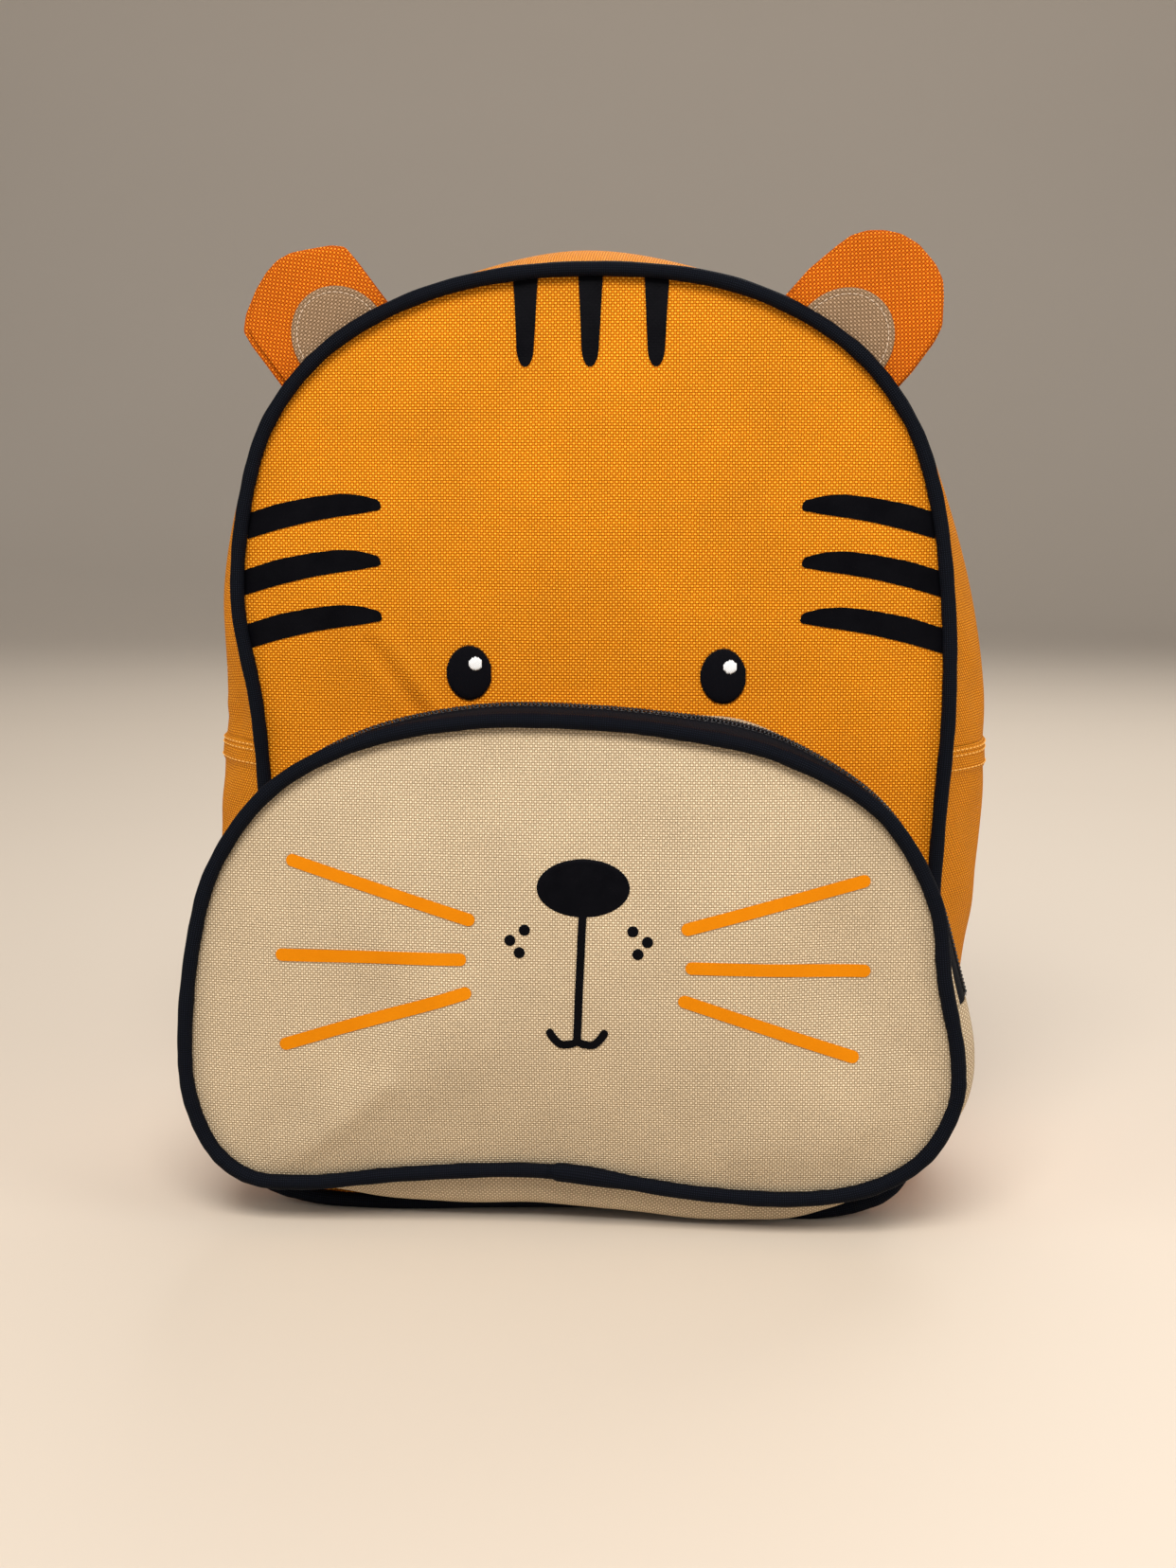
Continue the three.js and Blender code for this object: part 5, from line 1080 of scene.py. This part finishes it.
NOSE_X, NOSE_UP, NOSE_WIDTH, NOSE_HEIGHT = 0.011, 0.692, 29, 18
MOUTH_STROKE, MOUTH_HALF_WIDTH, FRECKLE = 2.5, 4.5, 3.5
nose_x, nose_z = NOSE_X * POCKET_WIDTH / 2, NOSE_UP * POCKET_HEIGHT
foot_x, foot_z = -0.004 * POCKET_WIDTH / 2, 0.402 * POCKET_HEIGHT
nose = disk("nose_film", nose_x, nose_z, NOSE_WIDTH, NOSE_HEIGHT, pocket_face, 0.08, FILM)
finish_piece(nose, *BLACK_PRINT, "nose_and_mouth")
stroke_film("mouth_line", [(nose_x, nose_z - 6), (foot_x, foot_z)], MOUTH_STROKE, BLACK_PRINT)
for sign, side in SIDES:
    angle = np.linspace(0, math.pi * 0.85, 30)
    dip = 4.6 * 0.4 * np.sin(angle)
    rise = 3.6 * np.maximum(0, -np.cos(angle)) ** 1.6
    hook = np.stack([foot_x + sign * MOUTH_HALF_WIDTH * (1 - np.cos(angle)), foot_z - dip + rise], 1)
    stroke_film("mouth_hook_" + side, hook, MOUTH_STROKE, BLACK_PRINT, lift=0.04 if sign < 0 else 0.05)
    for place, x_share, up_share in [("top", 0.137, 0.612), ("outer", 0.174, 0.592), ("bottom", 0.15, 0.569)]:
        cx, cz = sign * x_share * POCKET_WIDTH / 2, up_share * POCKET_HEIGHT
        dot = disk(f"freckle_film_{side}_{place}", cx, cz, FRECKLE, FRECKLE, pocket_face, 0.06, FILM, 8)
        finish_piece(dot, *BLACK_PRINT, f"freckle_{side}_{place}")

# ---- Whiskers ---------------------------------------------------------------------------------------------
# Six strokes of orange heat-pressed film on the pocket, matt and thin, with the weave showing through.
WHISKER_STROKE = 4
ORANGE_PRINT = (
    film("orange_film", (0.52, 0.15, 0.001), (0.60, 0.19, 0.002), 0.55, 0.7, 0.6, 0.0), "orange_print")
for side, place, x0, up0, x1, up1 in [
    ("left", "upper", -0.28, 0.629, -0.739, 0.7305),
    ("left", "middle", -0.302, 0.553, -0.77, 0.548),
    ("left", "lower", -0.289, 0.489, -0.765, 0.372),
    ("right", "upper", 0.275, 0.617, 0.716, 0.7045),
    ("right", "middle", 0.286, 0.543, 0.721, 0.532),
    ("right", "lower", 0.268, 0.4785, 0.695, 0.369),
]:
    line = [(x * POCKET_WIDTH / 2, up * POCKET_HEIGHT) for x, up in ((x0, up0), (x1, up1))]
    stroke_film(f"whisker_film_{side}_{place}", line, WHISKER_STROKE, ORANGE_PRINT, f"whisker_{side}_{place}")

# ---- Shoulder straps --------------------------------------------------------------------------------------
# On the back, one strap to each side: a padded part of orange cloth, a ladder buckle of black plastic and
# black webbing, which comes up through the buckle, turns over its middle bar and hangs down as a tail.
PAD_WIDTH, PAD_THICKNESS = 42, 7
WEBBING_WIDTH, WEBBING = 20, 1.6
BUCKLE_BAR, BUCKLE_SLOT, BUCKLE_THICKNESS = 4, 6, 3.6
BUCKLE_LENGTH = 3 * BUCKLE_BAR + 2 * BUCKLE_SLOT
STRAP_TOP_REACH, STRAP_TOP_HEIGHT = 34, 270
STRAP_FOOT_REACH, STRAP_FOOT_HEIGHT = 90, 30
STRAP_BOW = 34
WEBBING_TAIL = 55
# How far down the strap, how far out and how far off the back, from 0 to 1
STRAP_COURSE = [
    (0, 0, 0), (0.05, 0.02, 0.12), (0.14, 0.1, 0.62), (0.28, 0.24, 0.95), (0.42, 0.4, 1), (0.56, 0.54, 0.84),
    (0.66, 0.64, 0.66),
]
WEBBING_COURSE = [(0.8, 0.78, 0.36), (0.93, 0.92, 0.08), (1, 1, 0)]
# Thread colour, then the painted shade between threads, then the painted highlight on the crests
webbing_cloth = cloth(
    "webbing_cloth", (0.010, 0.011, 0.014), (0.003, 0.003, 0.004), (0.04, 0.042, 0.05), roughness=0.55, bump=0.8,
    threads=0.9, turn=45, gloss=0.12)


def strap_spot(sign, row, width, thickness):
    down, out, bow = row
    x = sign * (STRAP_TOP_REACH + (STRAP_FOOT_REACH - STRAP_TOP_REACH) * out)
    z = STRAP_TOP_HEIGHT + (STRAP_FOOT_HEIGHT - STRAP_TOP_HEIGHT) * down
    behind = [back_face(x + s * width / 2, z + e * width / 4) for s in (-1, 0, 1) for e in (-1, 1)]
    return np.array([x, float(max(behind)) + SEAM_GAP + thickness / 2 + bow * STRAP_BOW, z])


def frames_along(points, across):
    """Point, wide, flat and mitre at each point of a strap's line, and the direction of its run."""
    runs = [(b - a) / np.linalg.norm(b - a) for a, b in zip(points, points[1:])]
    made = []
    for k, point in enumerate(points):
        before, after = runs[max(k - 1, 0)], runs[min(k, len(runs) - 1)]
        ahead = (before + after) / np.linalg.norm(before + after)
        wide = across - ahead * np.dot(ahead, across)
        wide = wide / np.linalg.norm(wide)
        made.append((point, wide, np.cross(wide, ahead), 1 / np.dot(ahead, after), ahead))
    return made


def smooth_line(points, count, rounds):
    """A finer line that passes close to the points, its corners rounded in a number of rounds."""
    line = resampled(points, count)
    soften(line, rounds)
    return line


def ribbon(name, frames, width, node):
    """Webbing along a strap's line, with rounded edges."""
    u = np.linspace(-1, 1, 9)
    edge = np.sqrt(np.clip(1 - np.clip((np.abs(u) - 0.9) / 0.1, 0, 1) ** 2, 0.05, 1))
    faces = []
    for sign in (1, -1):
        faces.append(np.array([
            [p + w * (c * width / 2) + f * (sign * m * WEBBING / 2 * e) for c, e in zip(u, edge)]
            for p, w, f, m, a in frames]))
    run = length_along([point for point, *_ in frames])
    uv = stack(run[:, None] + 0 * u, (u * width / 2)[None, :] + 0 * run[:, None], 0)[..., :2]
    finish_piece(wall(name, faces[0], faces[1], uv, crease=70), webbing_cloth, "webbing", node)


ACROSS = np.array([-1.0, 0, 0])
buckle_plastic, tree = new_material("buckle_plastic")
worn = noise(tree, object_place(tree), 120, 4)
fine_grain = noise(tree, object_place(tree), 1400, 3)
surface(
    tree, Base_Color=blend(tree, worn, (0.008, 0.008, 0.01), (0.022, 0.022, 0.025)),
    Roughness=remap(tree, worn, 0.3, 0.7, 0.34, 0.5), Normal=raised(tree, fine_grain, 0.2, 0.06 * MM))

strap_threads = []
for sign, side in SIDES:
    course = [strap_spot(sign, row, PAD_WIDTH, PAD_THICKNESS) for row in STRAP_COURSE]
    ends = frames_along(course, ACROSS)[-1]
    frames = frames_along(list(smooth_line(course, 90, 26)), ACROSS)
    u = np.concatenate([[-1, -0.99, -0.965, -0.93], np.linspace(-0.88, 0.88, 25), [0.93, 0.965, 0.99, 1]])
    sewn = 0.16 * np.exp(-(((np.abs(u) - 0.84) / 0.035) ** 2))
    full = np.sqrt(np.clip(1 - np.abs(u) ** 3.2, 0.02, 1)) - sewn
    faces = []
    for way in (1, -1):
        rows = []
        for k, (p, w, f, m, a) in enumerate(frames):
            share = k / (len(frames) - 1)
            wide = (1 - 0.35 * share**4) * PAD_WIDTH / 2
            thick = (0.45 + 0.55 * min(1, 5 * share, 5 * (1 - share))) * way * PAD_THICKNESS / 2
            rows.append([p + w * (c * wide) + f * (e * thick) for c, e in zip(u, full)])
        faces.append(np.array(rows))
    run = length_along([point for point, *_ in frames])
    uv = stack((u * PAD_WIDTH / 2)[None, :] + 0 * run[:, None], run[:, None] + 0 * u, 0)[..., :2]
    pad = wall("strap_cloth_" + side, faces[0], faces[1], uv, crease=80)
    finish_piece(pad, orange_cloth, "orange_cloth", "strap_pad_" + side)
    for c in (-0.84, 0.84):
        k = int(np.argmin(np.abs(u - c)))
        strap_threads += stitch_row(faces[0][2:-2, k] + np.array([0, 0.2, 0]))

    rounded_copy("buckle_" + side, "strap_buckle_" + side, 0.0008, buckle_plastic, "buckle_plastic")

    # The webbing's line: up to the buckle, round its middle bar and back down as a tail
    point, wide, flat, _, ahead = ends
    middle = point + ahead * (SEAM_GAP + BUCKLE_LENGTH / 2)
    off = BUCKLE_THICKNESS / 2 + SEAM_GAP + WEBBING / 2
    bend = BUCKLE_BAR / 2 + SEAM_GAP + WEBBING / 2
    local = lambda along, rise: middle + ahead * along + flat * rise
    course = [strap_spot(sign, row, WEBBING_WIDTH, WEBBING) for row in reversed(WEBBING_COURSE)]
    course += [local(BUCKLE_LENGTH / 2, -off), local(-bend, -off), local(-bend, off), local(BUCKLE_LENGTH / 2, off)]
    course.append(local(BUCKLE_LENGTH / 2 + WEBBING_TAIL, off + WEBBING))
    ribbon("webbing_" + side, frames_along(course, wide), WEBBING_WIDTH, "strap_webbing_" + side)
finish_piece(threads("strap_stitches", strap_threads, STITCH_RADIUS, 5), orange_thread, "orange_cloth")

# ---- Hanging loop -----------------------------------------------------------------------------------------
# A short loop of the same webbing, folded in two and sewn to the top of the back.
LOOP_WIDTH, LOOP_REACH, LOOP_HEIGHT = 22, 20, 26
# How far back and how far up, from 0 to 1, and which of the two layers
LOOP_COURSE = [
    (0, -0.7, 0), (0, 0.1, 0), (0.08, 0.65, 0), (0.3, 1, 0), (0.75, 1, 0), (1, 0.6, 0), (0.85, 0.1, 0),
    (0.3, -0.2, 1), (0, -0.4, 1), (0, -0.7, 1),
]
loop_foot = BODY_HEIGHT - 4 * PIPING_RADIUS - 3 * WEBBING
loop_back = back_face(0, loop_foot - LOOP_HEIGHT) + SEAM_GAP + WEBBING / 2
loop = [
    (0, loop_back + back * LOOP_REACH + layer * (WEBBING + SEAM_GAP), loop_foot + rise * LOOP_HEIGHT)
    for back, rise, layer in LOOP_COURSE]
ribbon("loop_webbing", frames_along(list(smooth_line(loop, 90, 9)), ACROSS), LOOP_WIDTH, "hanging_loop")
